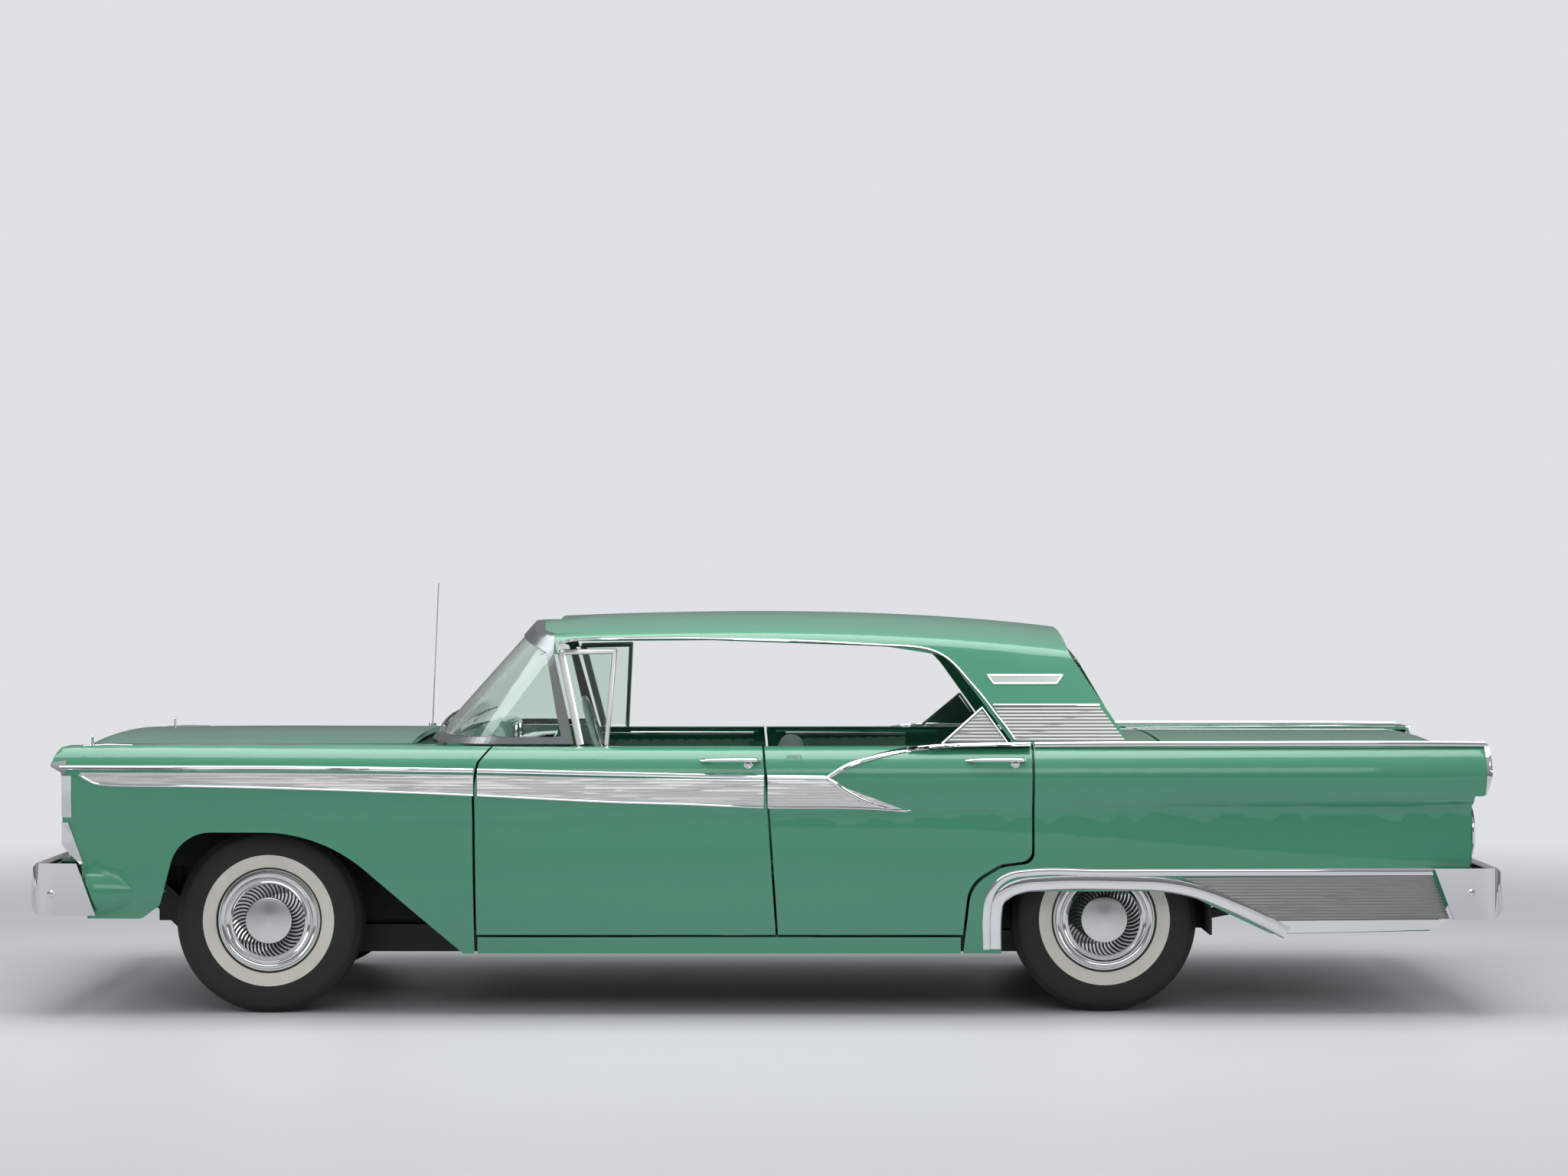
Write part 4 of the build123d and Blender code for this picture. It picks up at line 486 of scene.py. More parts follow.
def panel_tree(*nodes):
    """A finder of where a level line meets the outside of some CAD panels."""
    points = []
    faces = []
    for node in nodes:
        mesh = frame["nodes"][node].data
        first = len(points)
        points += [v.co.copy() for v in mesh.vertices]
        faces += [[first + index for index in face.vertices] for face in mesh.polygons]
    return BVHTree.FromPolygons(points, faces)


body_side = panel_tree("front_fender_left", "front_door_left", "rear_door_left", "quarter_panel_left")
roof_side = panel_tree("roof")
OUTSIDE = Vector((0, -1, 0))
GAP_REACH = 0.008


def skin_y(tree, x, z):
    """How far out the left side's surface stands at a place, also over a panel gap."""
    depths = []
    for shift in (0, -GAP_REACH, GAP_REACH):
        hit = tree.ray_cast(Vector((x + shift, 1.3, z)), OUTSIDE)[0]
        if hit:
            depths.append(hit.y)
        if shift == 0 and depths and depths[0] > 0.6:
            return depths[0]
    if depths:
        return max(depths)
    return tree.find_nearest(Vector((x, 0.95, z)))[0].y


def on_skin(bm, tree, lift=0.0):
    """A flat piece laid on the body: each point moves out by the surface's own depth there."""
    for v in bm.verts:
        v.co.y += skin_y(tree, v.co.x, v.co.z) + lift
    return bm


def cut_out(bm, x0, x1):
    """The part of a piece between two places along the car."""
    for place, normal in ((x0, (-1, 0, 0)), (x1, (1, 0, 0))):
        everything = bm.verts[:] + bm.edges[:] + bm.faces[:]
        cut = bmesh.ops.bisect_plane(bm, geom=everything, dist=1e-6, plane_co=(place * MM, 0, 0),
                                     plane_no=normal, clear_outer=True)
        rim = [g for g in cut["geom_cut"] if isinstance(g, bmesh.types.BMEdge)]
        if rim:
            bmesh.ops.contextual_create(bm, geom=rim)
    return bm


def bead(points, width, height, radii=None):
    """A rolled moulding along a side-view line: a tube flattened towards the body."""
    curve = bpy.data.curves.new("line", "CURVE")
    curve.dimensions = "3D"
    curve.resolution_u = 10
    curve.bevel_depth = width / 2 * MM
    curve.bevel_resolution = 3
    curve.use_fill_caps = True
    spline = curve.splines.new("BEZIER")
    spline.bezier_points.add(len(points) - 1)
    for index, (point, place) in enumerate(zip(spline.bezier_points, points)):
        x, y, z = place if len(place) == 3 else (place[0], 0, place[1])
        point.co = (x * MM, y * MM, z * MM)
        point.handle_left_type = point.handle_right_type = "AUTO"
        point.radius = radii[index] if radii else 1
    line = bpy.data.objects.new("line", curve)
    bpy.context.collection.objects.link(line)
    mesh = bpy.data.meshes.new_from_object(line)
    bm = bmesh.new()
    bm.from_mesh(mesh)
    bpy.data.objects.remove(line)
    bmesh.ops.remove_doubles(bm, verts=bm.verts, dist=WELD)
    bmesh.ops.scale(bm, vec=(1, 2 * height / width, 1), verts=bm.verts)
    bmesh.ops.recalc_face_normals(bm, faces=bm.faces)
    return bm


def flat_plate(outline, thickness, rib_pitch=0, rib_depth=0.0, step=PLATE_STEP):
    """A thin plate from its side-view outline, cut up finely enough to follow the body, ribbed if asked."""
    bm = bmesh.new()
    bm.faces.new([bm.verts.new((x * MM, 0, z * MM)) for x, z in outline])
    bmesh.ops.triangulate(bm, faces=bm.faces[:])
    xs = [x * MM for x, _ in outline]
    zs = [z * MM for _, z in outline]
    cuts = [((min(xs) + step * i, 0, 0), (1, 0, 0)) for i in range(1, int((max(xs) - min(xs)) / step) + 1)]
    if rib_pitch:
        half = rib_pitch * MM / 2
        rows = range(1, int((max(zs) - min(zs)) / half) + 1)
        cuts += [((0, 0, min(zs) + half * i), (0, 0, 1)) for i in rows]
    for place, normal in cuts:
        everything = bm.verts[:] + bm.edges[:] + bm.faces[:]
        bmesh.ops.bisect_plane(bm, geom=everything, dist=1e-6, plane_co=place, plane_no=normal)
    wall = bmesh.ops.extrude_face_region(bm, geom=bm.faces[:])
    outer = [g for g in wall["geom"] if isinstance(g, bmesh.types.BMVert)]
    bmesh.ops.translate(bm, vec=(0, thickness * MM, 0), verts=outer)
    if rib_pitch:
        for v in outer:
            crest = round((v.co.z - min(zs)) / half) % 2
            v.co.y += rib_depth * MM * crest
    bmesh.ops.recalc_face_normals(bm, faces=bm.faces)
    return bm


def make_pair(name, bm, material, body="car_body", angle=SMOOTH_ANGLE):
    """The same piece on both sides of the car, each riding its own side's body."""
    for side, way in SIDES.items():
        half = bm.copy()
        if way < 0:
            bmesh.ops.scale(half, vec=(1, -1, 1), verts=half.verts)
            bmesh.ops.reverse_faces(half, faces=half.faces)
        make_piece(f"{name}_{side}", half, material, body.format(side=side), angle)
    bm.free()


PANELS = {
    "fender": ("car_body", FRONT_GAP_X + TRIM_GAP, 2700),
    "front_door": ("front_door_{side}", MIDDLE_GAP_X + TRIM_GAP, FRONT_GAP_X - TRIM_GAP),
    "rear_door": ("rear_door_{side}", REAR_GAP_X + TRIM_GAP, MIDDLE_GAP_X - TRIM_GAP),
    "quarter": ("car_body", -2700, REAR_GAP_X - TRIM_GAP),
}


def along_panels(name, bm, material, panels, angle=SMOOTH_ANGLE):
    """One long moulding cut at the panel gaps, each length riding its own panel."""
    for panel in panels:
        body, x0, x1 = PANELS[panel]
        length = cut_out(bm.copy(), x0, x1)
        make_pair(f"{name}_{panel}", on_skin(length, body_side), material, body, angle)
    bm.free()


spear_panels = ("fender", "front_door", "rear_door")
insert = SPEAR_SECOND + SPEAR_LOWER[::-1]
along_panels("spear_insert", flat_plate(insert, 1.5, SPEAR_RIB_PITCH, 1.2), satin_aluminium,
             spear_panels)
along_panels("spear_top", bead(SPEAR_TOP, 14, BEAD_HEIGHT), chrome_plate, spear_panels)
along_panels("spear_second", bead(SPEAR_SECOND, 8, 4), chrome_plate, spear_panels)
along_panels("spear_lower", bead(SPEAR_LOWER, BEAD_WIDTH, BEAD_HEIGHT), chrome_plate, spear_panels)

# Arrow and fin moulding: the spear's chrome sweeps back over the rear door,
# then runs along the fin's top edge to a cast cap at the tail.
ARROW_UPPER = [(-202, 846), (-232, 860), (-267, 882), (-308, 901), (-376, 922), (-457, 941), (-539, 953),
               (-620, 960), (-702, 964), (-938, 966)]
ARROW_LOWER = [(-214, 850), (-240, 834), (-267, 812), (-322, 780), (-376, 757), (-430, 743), (-512, 733)]
ARROW_UPPER_WIDTHS = [0.6, 0.9, 1, 1, 1, 1, 1, 1, 1, 1]
ARROW_LOWER_WIDTHS = [0.8, 1, 1, 0.9, 0.75, 0.5, 0.15]
ARROW_WIDTH = 17

rear_door_body = PANELS["rear_door"][0]
make_pair("arrow_upper", on_skin(bead(ARROW_UPPER, ARROW_WIDTH, 8, ARROW_UPPER_WIDTHS), body_side),
          chrome_plate,
          rear_door_body)
make_pair("arrow_lower", on_skin(bead(ARROW_LOWER, ARROW_WIDTH, 7, ARROW_LOWER_WIDTHS), body_side),
          chrome_plate,
          rear_door_body)

# Fin moulding: a rolled bright strip along the top edge of each fin, with a
# cast cap over the fin's end. The cap is a patch lifted off the panel itself.
FIN_LINE = [(-954, 0, 964), (-1300, 0, 966), (-1800, 0, 967), (-2300, 0, 967), (-2560, 0, 965)]
FIN_LEVEL = 0.950
FIN_WIDTH = 22
FIN_DEPTH = 8
FIN_LEAN = -0.004
PATCH_WALL = 0.0016


def skin_patch(node, cuts, lift=PATCH_WALL):
    """A thin shell over a part of a CAD panel: what the planes leave of it, moved out and given a wall."""
    bm = bmesh.new()
    bm.from_mesh(frame["nodes"][node].data)
    bmesh.ops.remove_doubles(bm, verts=bm.verts, dist=WELD)
    for place, normal in cuts:
        everything = bm.verts[:] + bm.edges[:] + bm.faces[:]
        bmesh.ops.bisect_plane(bm, geom=everything, dist=1e-6, plane_co=[value * MM for value in place],
                               plane_no=normal, clear_outer=True)
    bm.normal_update()
    for v in bm.verts:
        v.co += v.normal * lift
    bmesh.ops.solidify(bm, geom=bm.faces[:], thickness=PATCH_WALL)
    bmesh.ops.recalc_face_normals(bm, faces=bm.faces)
    return bm


def at_level(bm, tree, level, lift=0.0):
    """A piece laid against the body by the surface's depth at one height, so that it stays upright."""
    for v in bm.verts:
        v.co.y += skin_y(tree, v.co.x, level) + lift
    return bm


make_pair("fin_moulding", at_level(bead(FIN_LINE, FIN_WIDTH, FIN_DEPTH), body_side, FIN_LEVEL, FIN_LEAN),
          chrome_plate)
fin_cap = skin_patch("quarter_panel_left", [((-2541, 0, 0), (1, 0, 0.02)), ((0, 0, 784), (0, 0, -1))])
make_pair("fin_end_cap", fin_cap, chrome_plate)

# Rear arch and lower quarter: a bright band and a rolled lip follow the wheel
# opening, and a ribbed aluminium panel fills the quarter down to its sill.
BAND_LINE = [(-783, 236), (-781, 360), (-790, 420), (-815, 468), (-856, 499), (-915, 512), (-1200, 513),
             (-1800, 513), (-2374, 512)]
BAND_WIDTH = 27
LIP_LINE = [(-815, 238), (-815, 362), (-823, 410), (-848, 440), (-900, 464), (-980, 473), (-1300, 474),
            (-1420, 468), (-1530, 445), (-1640, 402), (-1750, 350), (-1852, 296)]
LIP_WIDTHS = [0.8, 0.82, 0.88, 0.95, 1, 1, 1, 1, 1, 1, 1, 0.95]
LIP_WIDTH = 52
QUARTER_RIBS = [(-1476, 496), (-2371, 499), (-2434, 344), (-1788, 339), (-1733, 371), (-1652, 417),
                (-1571, 461)]
QUARTER_RIB_PITCH = 11
QUARTER_SILL = [(-1796, 338), (-2432, 341), (-2404, 320), (-2374, 305), (-2168, 299), (-1896, 294),
                (-1822, 293)]

ribbed_aluminium = bright_metal("ribbed_aluminium", "#8E918E", 0.34, (8, 8, 300), 0.1)
make_pair("quarter_ribbed_panel", on_skin(flat_plate(QUARTER_RIBS, 1.2, QUARTER_RIB_PITCH, 2.2), body_side),
          ribbed_aluminium)
make_pair("quarter_sill_strip", on_skin(flat_plate(QUARTER_SILL, 4), body_side), chrome_plate)
make_pair("arch_band", on_skin(bead(BAND_LINE, BAND_WIDTH, 6), body_side), chrome_plate)
make_pair("arch_lip", on_skin(bead(LIP_LINE, LIP_WIDTH, 9, LIP_WIDTHS), body_side), chrome_plate)

# Roof trim: a drip rail over the side windows, a ribbed bright panel at the
# foot of the broad rear pillar and a plain winged bar above it.
DRIP_LINE = [(754, 1318), (727, 1330), (671, 1337), (560, 1340), (116, 1339), (-411, 1317), (-550, 1308),
             (-591, 1299), (-633, 1281), (-661, 1261), (-689, 1234), (-716, 1203), (-744, 1170), (-772, 1137),
             (-800, 1100), (-827, 1064), (-855, 1028), (-886, 982)]
PILLAR_RIBS = [(-814, 1097), (-1196, 1097), (-1284, 975), (-890, 975)]
PILLAR_RIB_PITCH = 12
PILLAR_CAP = [(-812, 1103), (-1000, 1103), (-1196, 1103)]
BAR_LOOP = [(-795, 1209), (-1068, 1209), (-1046, 1180), (-815, 1180)]
BAR_FRAME = BAR_LOOP + BAR_LOOP[:1]

make_pair("drip_rail", on_skin(bead(DRIP_LINE, 11, 8), roof_side), chrome_plate)
make_pair("pillar_ribbed_panel", on_skin(flat_plate(PILLAR_RIBS, 1.2, PILLAR_RIB_PITCH, 2.6), roof_side),
          ribbed_aluminium)
make_pair("pillar_panel_cap", on_skin(bead(PILLAR_CAP, 10, 6), roof_side), chrome_plate)
make_pair("pillar_bar", on_skin(flat_plate(BAR_LOOP, 2), roof_side), satin_aluminium)
for number, (start, end) in enumerate(zip(BAR_FRAME, BAR_FRAME[1:])):
    make_pair(f"pillar_bar_edge_{number}", on_skin(bead([start, end], 8, 4), roof_side), chrome_plate)

# Side glass: the front doors carry a hinged vent window in a bright frame, and
# the rear doors a ribbed triangle behind the glass. The other panes are down.
GLASS_FOOT_Y = 856
GLASS_FOOT_Z = 957
GLASS_LEAN = -0.4673
VENT_LOOP = [(668, 962), (745, 1290), (553, 1295), (574, 962)]
VENT_PANE = [(662, 966), (735, 1284), (559, 1289), (577, 966)]
FILLER_RIBS = [(-640, 972), (-772, 1086), (-858, 972)]
FILLER_EDGE = [(-628, 966), (-776, 1094), (-864, 970)]
front_door_body = PANELS["front_door"][0]


def leaning(bm, lift=0.0):
    """A flat piece laid in the plane of the side glass, which leans in towards the roof."""
    for v in bm.verts:
        v.co.y += (GLASS_FOOT_Y + GLASS_LEAN * (v.co.z / MM - GLASS_FOOT_Z)) * MM + lift
    return bm


pane = leaning(flat_plate(VENT_PANE, 4, step=1), -0.002)
make_pair("vent_window", pane, window_glass, front_door_body)
for number, (start, end) in enumerate(zip(VENT_LOOP, VENT_LOOP[1:] + VENT_LOOP[:1])):
    if number == 3:
        continue
    width = (28, 20, 17)[number]
    make_pair(f"vent_frame_bar_{number}", leaning(bead([start, end], width, 9)), satin_aluminium,
              front_door_body)
filler = leaning(flat_plate(FILLER_RIBS, 1.5, PILLAR_RIB_PITCH, 2.2))
make_pair("rear_filler_panel", filler, ribbed_aluminium, rear_door_body)
for number, (start, end) in enumerate(zip(FILLER_EDGE, FILLER_EDGE[1:])):
    make_pair(f"rear_filler_edge_{number}", leaning(bead([start, end], 11, 6)), chrome_plate,
              rear_door_body)

# Door handles: a chrome pull bar on two feet with a push button behind it,
# cast in zinc and plated.
HANDLES = {
    "front": ([(31, 0, 911), (40, 14, 914), (62, 21, 915), (140, 22, 915), (200, 18, 914), (235, 0, 911)],
              66, 897, front_door_body),
    "rear": ([(-914, 0, 911), (-905, 14, 914), (-884, 21, 915), (-800, 22, 915), (-742, 18, 914),
              (-707, 0, 911)], -882, 899, rear_door_body),
}
HANDLE_WIDTHS = [1.5, 1.3, 1.05, 1, 1, 0.9]
BUTTON_PROFILE = [(-0.004, 0.0), (-0.004, 0.017), (0.003, 0.017), (0.006, 0.014), (0.006, 0.0115),
                  (0.011, 0.011), (0.013, 0.009), (0.0135, 0.0)]
for place, (line, button_x, button_z, body) in HANDLES.items():
    bar = bead(line, 12, 6, HANDLE_WIDTHS)
    make_pair(f"{place}_handle", on_skin(bar, body_side), chrome_plate, body)
    button = turned(BUTTON_PROFILE, 32)
    depth = skin_y(body_side, button_x * MM, button_z * MM)
    bmesh.ops.translate(button, vec=(button_x * MM, depth, button_z * MM), verts=button.verts)
    make_pair(f"{place}_handle_button", button, chrome_plate, body)

# Nose trim: bright castings cap the fender's leading edge, from the lip over
# the lamps down to the bumper.
LIP_CUTS = [((2492, 0, 0), (-1, 0, 0)), ((2540, 0, 903), (0.12, 0, 1)), ((0, 0, 857), (0, 0, -1))]
LAMP_CUTS = [((2473, 0, 0), (-1, 0, 0)), ((0, 0, 856), (0, 0, 1)), ((0, 0, 708), (0, 0, -1))]
LOW_CUTS = [((2430, 0, 540), (-0.936, 0, 0.351)), ((0, 0, 690), (0, 0, 1)), ((0, 0, 542), (0, 0, -1))]
for name, cuts, lift in (("nose_lip", LIP_CUTS, 0.003), ("lamp_surround", LAMP_CUTS, 0.002),
                         ("grille_end", LOW_CUTS, 0.004)):
    make_pair(name, skin_patch("front_fender_left", cuts, lift), chrome_plate)

# Bumpers: pressed steel bars in heavy chrome, wrapped round the corners and
# held by domed bolts.
BOLT_PLACES = {"front": (2543, 437), "rear": (-2502, 441)}
BOLT_PROFILE = [(-0.003, 0.0), (-0.003, 0.013), (0.001, 0.013), (0.004, 0.010), (0.0055, 0.005), (0.006, 0.0)]
BUMPER_SIDE_Y = 0.950
for place, (bolt_x, bolt_z) in BOLT_PLACES.items():
    smooth_copy(f"{place}_bumper", chrome_plate, math.radians(38))
    bolt = turned(BOLT_PROFILE, 24)
    tree = panel_tree(f"{place}_bumper")
    depth = tree.ray_cast(Vector((bolt_x * MM, 1.3, bolt_z * MM)), OUTSIDE)[0]
    side_y = depth.y if depth else BUMPER_SIDE_Y
    bmesh.ops.translate(bolt, vec=(bolt_x * MM, side_y, bolt_z * MM), verts=bolt.verts)
    make_pair(f"{place}_bumper_bolt", bolt, spun_steel)

# Grille and lamps: a pressed aluminium lattice, four sealed-beam lamps in
# plated bezels, and round red tail lamps in stepped rings.
LAMP_Z = 0.786
LENS_RADIUS = 0.0675
TAIL_LAMP_Z = 0.650
RED_RADIUS = 0.0905
VENT_FRAME_Z = 0.966
VENT_FRAME_Y = 0.87


def lens_glass(name, hex_code, flutes, rough):
    """Pressed lamp glass over a bright bowl: glossy, with moulded flutes."""
    material, tree = new_material(name)
    wave = add_node(tree, "ShaderNodeTexWave",
                    {"Vector": object_point(tree), "Scale": flutes, "Distortion": 0}, bands_direction="Y")
    bump = add_node(tree, "ShaderNodeBump",
                    {"Height": wave.outputs["Fac"], "Strength": 0.6, "Distance": 0.002})
    surface(tree, {"Base Color": srgb(hex_code), "Roughness": rough, "IOR": 1.5, "Coat Weight": 1.0,
                   "Coat Roughness": 0.02, "Metallic": 0.35, "Normal": bump.outputs["Normal"]})
    return material


sealed_beam = lens_glass("sealed_beam_glass", "#D5DBDE", 40, 0.12)
red_acrylic = lens_glass("red_acrylic_lens", "#A3101A", 30, 0.1)
smooth_copy("grille", satin_aluminium, math.radians(20))


def two_finishes(piece, second, choose):
    """A second finish on the faces that a test picks."""
    piece.data.materials.append(second)
    for face in piece.data.polygons:
        if choose(face.center, face.normal):
            face.material_index = 1


def lamp_radius(point, height, places):
    """How far a point is from the nearest lamp's axis."""
    return min(math.hypot(point.y - place, point.z - height) for place in places)


headlamp_ys = (-0.829, -0.646, 0.646, 0.829)
tail_lamp_ys = (-0.778, 0.778)
headlamps = smooth_copy("headlamps", chrome_plate)
two_finishes(headlamps, sealed_beam,
             lambda p, n: lamp_radius(p, LAMP_Z, headlamp_ys) < LENS_RADIUS and n.x > 0.5)
tail_lamps = smooth_copy("tail_lamps", chrome_plate)
two_finishes(tail_lamps, red_acrylic,
             lambda p, n: 0.024 < lamp_radius(p, TAIL_LAMP_Z, tail_lamp_ys) < RED_RADIUS and n.x < 0.3)
for side in SIDES:
    two_finishes(bpy.data.objects[f"front_door_{side}_shown"], satin_aluminium,
                 lambda p, n: p.z > VENT_FRAME_Z and abs(p.y) < VENT_FRAME_Y)

# Fender sights: a bright rail along each front fender's top, with a small
# upright ring to sight the car's corner by.
SIGHT_Y = 0.843
SIGHT_RAIL = (2448, 2360, 2271)
SIGHT_RING_X = 2.415
SIGHT_RING_RADIUS = 13


def top_z(tree, x, y):
    """How high a panel's top stands at a place in plan."""
    return tree.ray_cast(Vector((x, y, 1.5)), Vector((0, 0, -1)))[0].z


rail_points = [(x, SIGHT_Y / MM, top_z(body_side, x * MM, SIGHT_Y) / MM + 1) for x in SIGHT_RAIL]
make_pair("fender_sight_rail", bead(rail_points, 12, 6, [0.5, 1, 0.4]), chrome_plate)
ring_foot = top_z(body_side, SIGHT_RING_X, SIGHT_Y) / MM
circle = [(SIGHT_RING_X / MM, SIGHT_Y / MM + SIGHT_RING_RADIUS * 0.7 * math.sin(math.tau * i / 12),
           ring_foot + 3 + SIGHT_RING_RADIUS * (1.3 - 1.3 * math.cos(math.tau * i / 12))) for i in range(13)]
make_pair("fender_sight_ring", bead(circle, 6, 3), chrome_plate)

# Wipers, mirror and antenna: thin plated rods and a glass mirror on a stalk
# under the windshield's header.
wiper_tree = panel_tree("windshield")


def glass_x(y, z):
    """Where the windshield's face stands at a height and a place across."""
    hit = wiper_tree.ray_cast(Vector((2.0, y, z)), Vector((-1, 0, 0)))[0]
    return hit.x if hit else 1.1


for side, (pivot, tip) in {"left": (0.50, 0.02), "right": (-0.14, -0.62)}.items():
    arm_points = []
    for share in (0, 0.25, 0.5, 0.75, 1):
        y = pivot + (tip - pivot) * share
        z = 0.998 + 0.05 * share
        arm_points.append(((glass_x(y, z) + 0.018 - 0.004 * share) / MM, y / MM, z / MM))
    make_piece(f"wiper_arm_{side}", bead(arm_points, 7, 3.5, [1.6, 1.1, 1, 0.8, 0.6]), chrome_plate,
               "car_body")
    blade_points = []
    for share in (0.38, 0.6, 0.8, 1, 1.12):
        y = pivot + (tip - pivot) * share
        z = 0.994 + 0.052 * share
        blade_points.append(((glass_x(y, z) + 0.007) / MM, y / MM, z / MM))
    make_piece(f"wiper_blade_{side}", bead(blade_points, 7, 3.5), black_rubber, "car_body")
mirror_points = [(0.868 / MM, y, 1290 - 8 * (y / 100) ** 2 * 0.2) for y in (-105, -60, 0, 60, 105)]
make_piece("rear_view_mirror", bead(mirror_points, 46, 9, [0.8, 1, 1, 1, 0.8]), chrome_plate, "car_body")
make_piece("mirror_stalk", bead([(868, 0, 1300), (872, 0, 1340), (885, 0, 1392)], 12, 6), chrome_plate,
           "car_body")
finish_node("antenna", chrome_plate)

# Dashboard and steering: painted steel with a hooded cluster of dials, and a
# two-spoke moulded wheel with a plated horn ring.
DASH_HEX = "#3F7F66"
COLUMN_FOOT = Vector((0.615, 0.4, 0.918))
COLUMN_LEAN = math.radians(18)
dash_paint = enamel("dash_enamel", DASH_HEX)
wheel_plastic = enamel("moulded_wheel_plastic", "#9DBBA9")
dial_black = matte_paint("dial_face_black", "#121414", 0.4, 60)
smooth_copy("dashboard", dash_paint)
smooth_copy("steering_column", dash_paint)
smooth_copy("steering_wheel", wheel_plastic)


def on_column(bm):
    """A piece turned from the Y axis onto the steering column's axis."""
    turn = Matrix.Rotation(math.radians(90), 4, "Z")
    lean = Matrix.Rotation(COLUMN_LEAN, 4, "Y")
    bmesh.ops.transform(bm, matrix=Matrix.Translation(COLUMN_FOOT) @ lean @ turn, verts=bm.verts)
    return bm


HORN_RING = [(0.014 + 0.003 * math.sin(math.tau * i / 12), 0.118 + 0.003 * math.cos(math.tau * i / 12))
             for i in range(12)]
make_piece("horn_ring", on_column(turned(HORN_RING, 64, closed=True)), chrome_plate, "steering_wheel")
HORN_CAP = [(0.012, 0.0), (0.012, 0.030), (0.016, 0.030), (0.021, 0.024), (0.024, 0.012), (0.025, 0.0)]
make_piece("horn_cap", on_column(turned(HORN_CAP, 48)), chrome_plate, "steering_wheel")
DIAL_RING = [(0.0, 0.040), (0.0, 0.046), (0.006, 0.047), (0.009, 0.043), (0.006, 0.040)]
DIAL_FACE = [(0.0, 0.0), (0.0, 0.042), (0.003, 0.042), (0.003, 0.0)]
dash_tree = panel_tree("dashboard")


def dash_x(y, z):
    """Where the dashboard's face stands, seen from the seats."""
    return dash_tree.ray_cast(Vector((0.5, y, z)), Vector((1, 0, 0)))[0].x


DIALS = [(0.50, 0.975, 1.15), (0.30, 0.975, 1.15), (0.40, 0.945, 0.6), (0.0, 0.87, 0.9),
         (-0.35, 0.87, 0.35), (-0.12, 0.87, 0.35), (0.12, 0.87, 0.35)]
for number, (y, z, size) in enumerate(DIALS):
    for part, profile, material in (("ring", DIAL_RING, chrome_plate), ("face", DIAL_FACE, dial_black)):
        bm = turned(profile, 40, closed=part == "ring")
        bmesh.ops.scale(bm, vec=(size, 1, size), verts=bm.verts)
        bmesh.ops.rotate(bm, verts=bm.verts, matrix=Matrix.Rotation(math.radians(90), 3, "Z"))
        bmesh.ops.translate(bm, vec=(dash_x(y, z) + 0.001, y, z), verts=bm.verts)
        make_piece(f"dial_{part}_{number}", bm, material, "car_body")

# Seats: two benches of foam over springs, covered in pleated vinyl with plain
# bolsters. Each cushion is a crowned closed form with sewn channels.
VINYL_HEX = "#8FBFA6"
BOLSTER_HEX = "#4E8A70"
PLEAT_PITCH = 0.062
PLEAT_DEPTH = 0.0075
SEAT_HALF = 0.652
BENCHES = {
    "front_seat_cushion": ("front_seat", (0.225, 0.482), 0.245, 0.062, 5),
    "front_seat_back": ("front_seat", (-0.055, 0.715), 0.225, 0.060, 102),
    "rear_seat_cushion": ("rear_seat", (-0.665, 0.468), 0.210, 0.062, 4),
    "rear_seat_back": ("rear_seat", (-0.970, 0.700), 0.200, 0.056, 104),
}


def vinyl(name, hex_code):
    """Embossed upholstery vinyl: satin, with a fine leather-like grain."""
    material, tree = new_material(name)
    grain = add_node(tree, "ShaderNodeTexVoronoi", {"Vector": object_point(tree), "Scale": 420})
    bump = add_node(tree, "ShaderNodeBump",
                    {"Height": grain.outputs["Distance"], "Strength": 0.35, "Distance": 0.0008})
    cloud = add_node(tree, "ShaderNodeTexNoise", {"Vector": object_point(tree), "Scale": 6, "Detail": 4})
    value = add_node(tree, "ShaderNodeMapRange", {"Value": cloud.outputs["Fac"], "To Min": 0.92,
                                                  "To Max": 1.06}).outputs["Result"]
    tint = add_node(tree, "ShaderNodeHueSaturation", {"Color": srgb(hex_code), "Value": value})
    surface(tree, {"Base Color": tint.outputs["Color"], "Roughness": 0.42, "Normal": bump.outputs["Normal"],
                   "Sheen Weight": 0.15})
    return material


def cushion(half_length, half_depth, tilt, centre):
    """A crowned bench pad: a rounded section carried across the car, with channels sewn into its top."""
    bm = bmesh.new()
    bmesh.ops.create_grid(bm, x_segments=64, y_segments=252, size=0.5)
    for v in bm.verts:
        turn = (v.co.x + 0.5) * math.tau
        across = v.co.y * 2
        edge = max(0.0, (abs(across) - 0.93) / 0.07)
        pull = 1 - 0.55 * edge ** 3
        c, s = math.cos(turn), math.sin(turn)
        along = half_length * math.copysign(abs(c) ** 0.45, c)
        depth = half_depth * math.copysign(abs(s) ** 0.7, s)
        crown = 1 + 0.16 * (1 - (along / half_length) ** 2) * (1 - across ** 4 * 0.6)
        depth *= crown if s > 0 else 1
        y = across * SEAT_HALF
        if s > 0.15 and abs(along) < 0.72 * half_length and abs(across) < 0.9:
            depth -= PLEAT_DEPTH * (1 - abs(math.sin(math.pi * y / PLEAT_PITCH)) ** 0.5)
        along *= 1 - 0.06 * edge ** 2
        v.co = Vector((along, y, depth * pull))
    bmesh.ops.remove_doubles(bm, verts=bm.verts, dist=0.0004)
    bmesh.ops.holes_fill(bm, edges=[e for e in bm.edges if e.is_boundary])
    bmesh.ops.recalc_face_normals(bm, faces=bm.faces)
    lean = Matrix.Rotation(math.radians(-tilt), 4, "Y")
    place = Matrix.Translation((centre[0], 0, centre[1]))
    bmesh.ops.transform(bm, matrix=place @ lean, verts=bm.verts)
    return bm


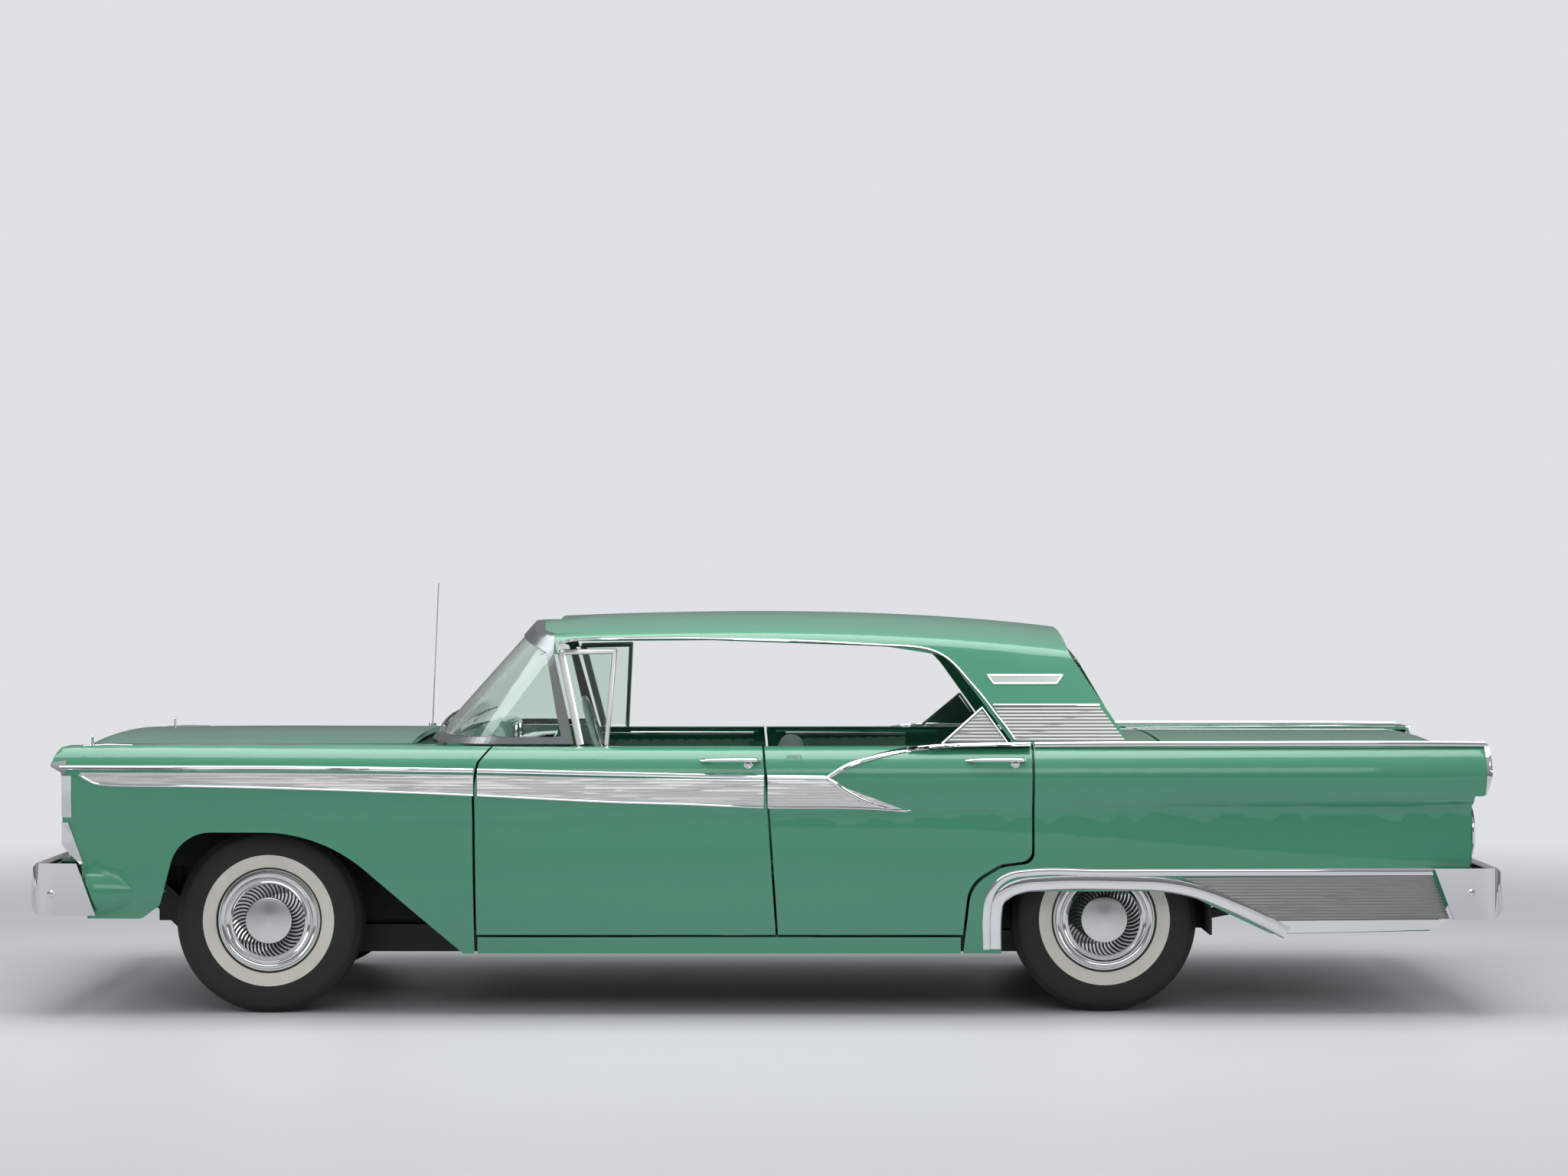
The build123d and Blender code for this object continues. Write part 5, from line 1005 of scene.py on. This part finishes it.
pleated_vinyl = vinyl("pleated_vinyl", VINYL_HEX)
bolster_vinyl = vinyl("bolster_vinyl", BOLSTER_HEX)
for name, (node, centre, half_length, half_depth, tilt) in BENCHES.items():
    pad = make_piece(name, cushion(half_length, half_depth, tilt, centre), pleated_vinyl, "car_body",
                     math.radians(50))
    pad.data.materials.append(bolster_vinyl)
    for face in pad.data.polygons:
        if abs(face.center.y) > 0.9 * SEAT_HALF:
            face.material_index = 1
    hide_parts(node)

# Door trims: pleated vinyl panels on the doors' inner faces, each riding its
# door, with a plated strip along the top.
DOOR_TRIM_SPANS = {"front_door": (60, 850), "rear_door": (-560, -70)}
DOOR_TRIM_LEVELS = (540, 930)
DOOR_TRIM_WALL = 6
DOOR_PLEAT_PITCH = 0.048
DOOR_PLEAT_DEPTH = 0.004
DOOR_INNER_Y = 0.8


def inner_y(tree, x, z):
    """Where a door's inner face stands, seen from the seats."""
    hit = tree.ray_cast(Vector((x, 0.5, z)), Vector((0, 1, 0)))[0]
    return hit.y if hit else DOOR_INNER_Y


for panel, (x0, x1) in DOOR_TRIM_SPANS.items():
    low, high = DOOR_TRIM_LEVELS
    tree = panel_tree(f"{panel}_left")
    cover = flat_plate([(x0, low), (x1, low), (x1, high), (x0, high)], DOOR_TRIM_WALL, step=0.006)
    strip = bead([(x0, 0, high), (x1, 0, high)], 16, 5)
    for v in cover.verts:
        pleat = DOOR_PLEAT_DEPTH * (abs(math.sin(math.pi * v.co.x / DOOR_PLEAT_PITCH)) ** 0.5 - 1)
        depth = -v.co.y - (pleat if v.co.y > 0 else 0)
        v.co.y = inner_y(tree, v.co.x, (low + high) / 2 * MM) + depth
    for v in strip.verts:
        v.co.y = inner_y(tree, v.co.x, high * MM) - v.co.y
    for bm in (cover, strip):
        bmesh.ops.recalc_face_normals(bm, faces=bm.faces)
    body = PANELS[panel][0]
    make_pair(f"{panel}_trim", cover, pleated_vinyl, body, math.radians(50))
    make_pair(f"{panel}_trim_strip", strip, chrome_plate, body)
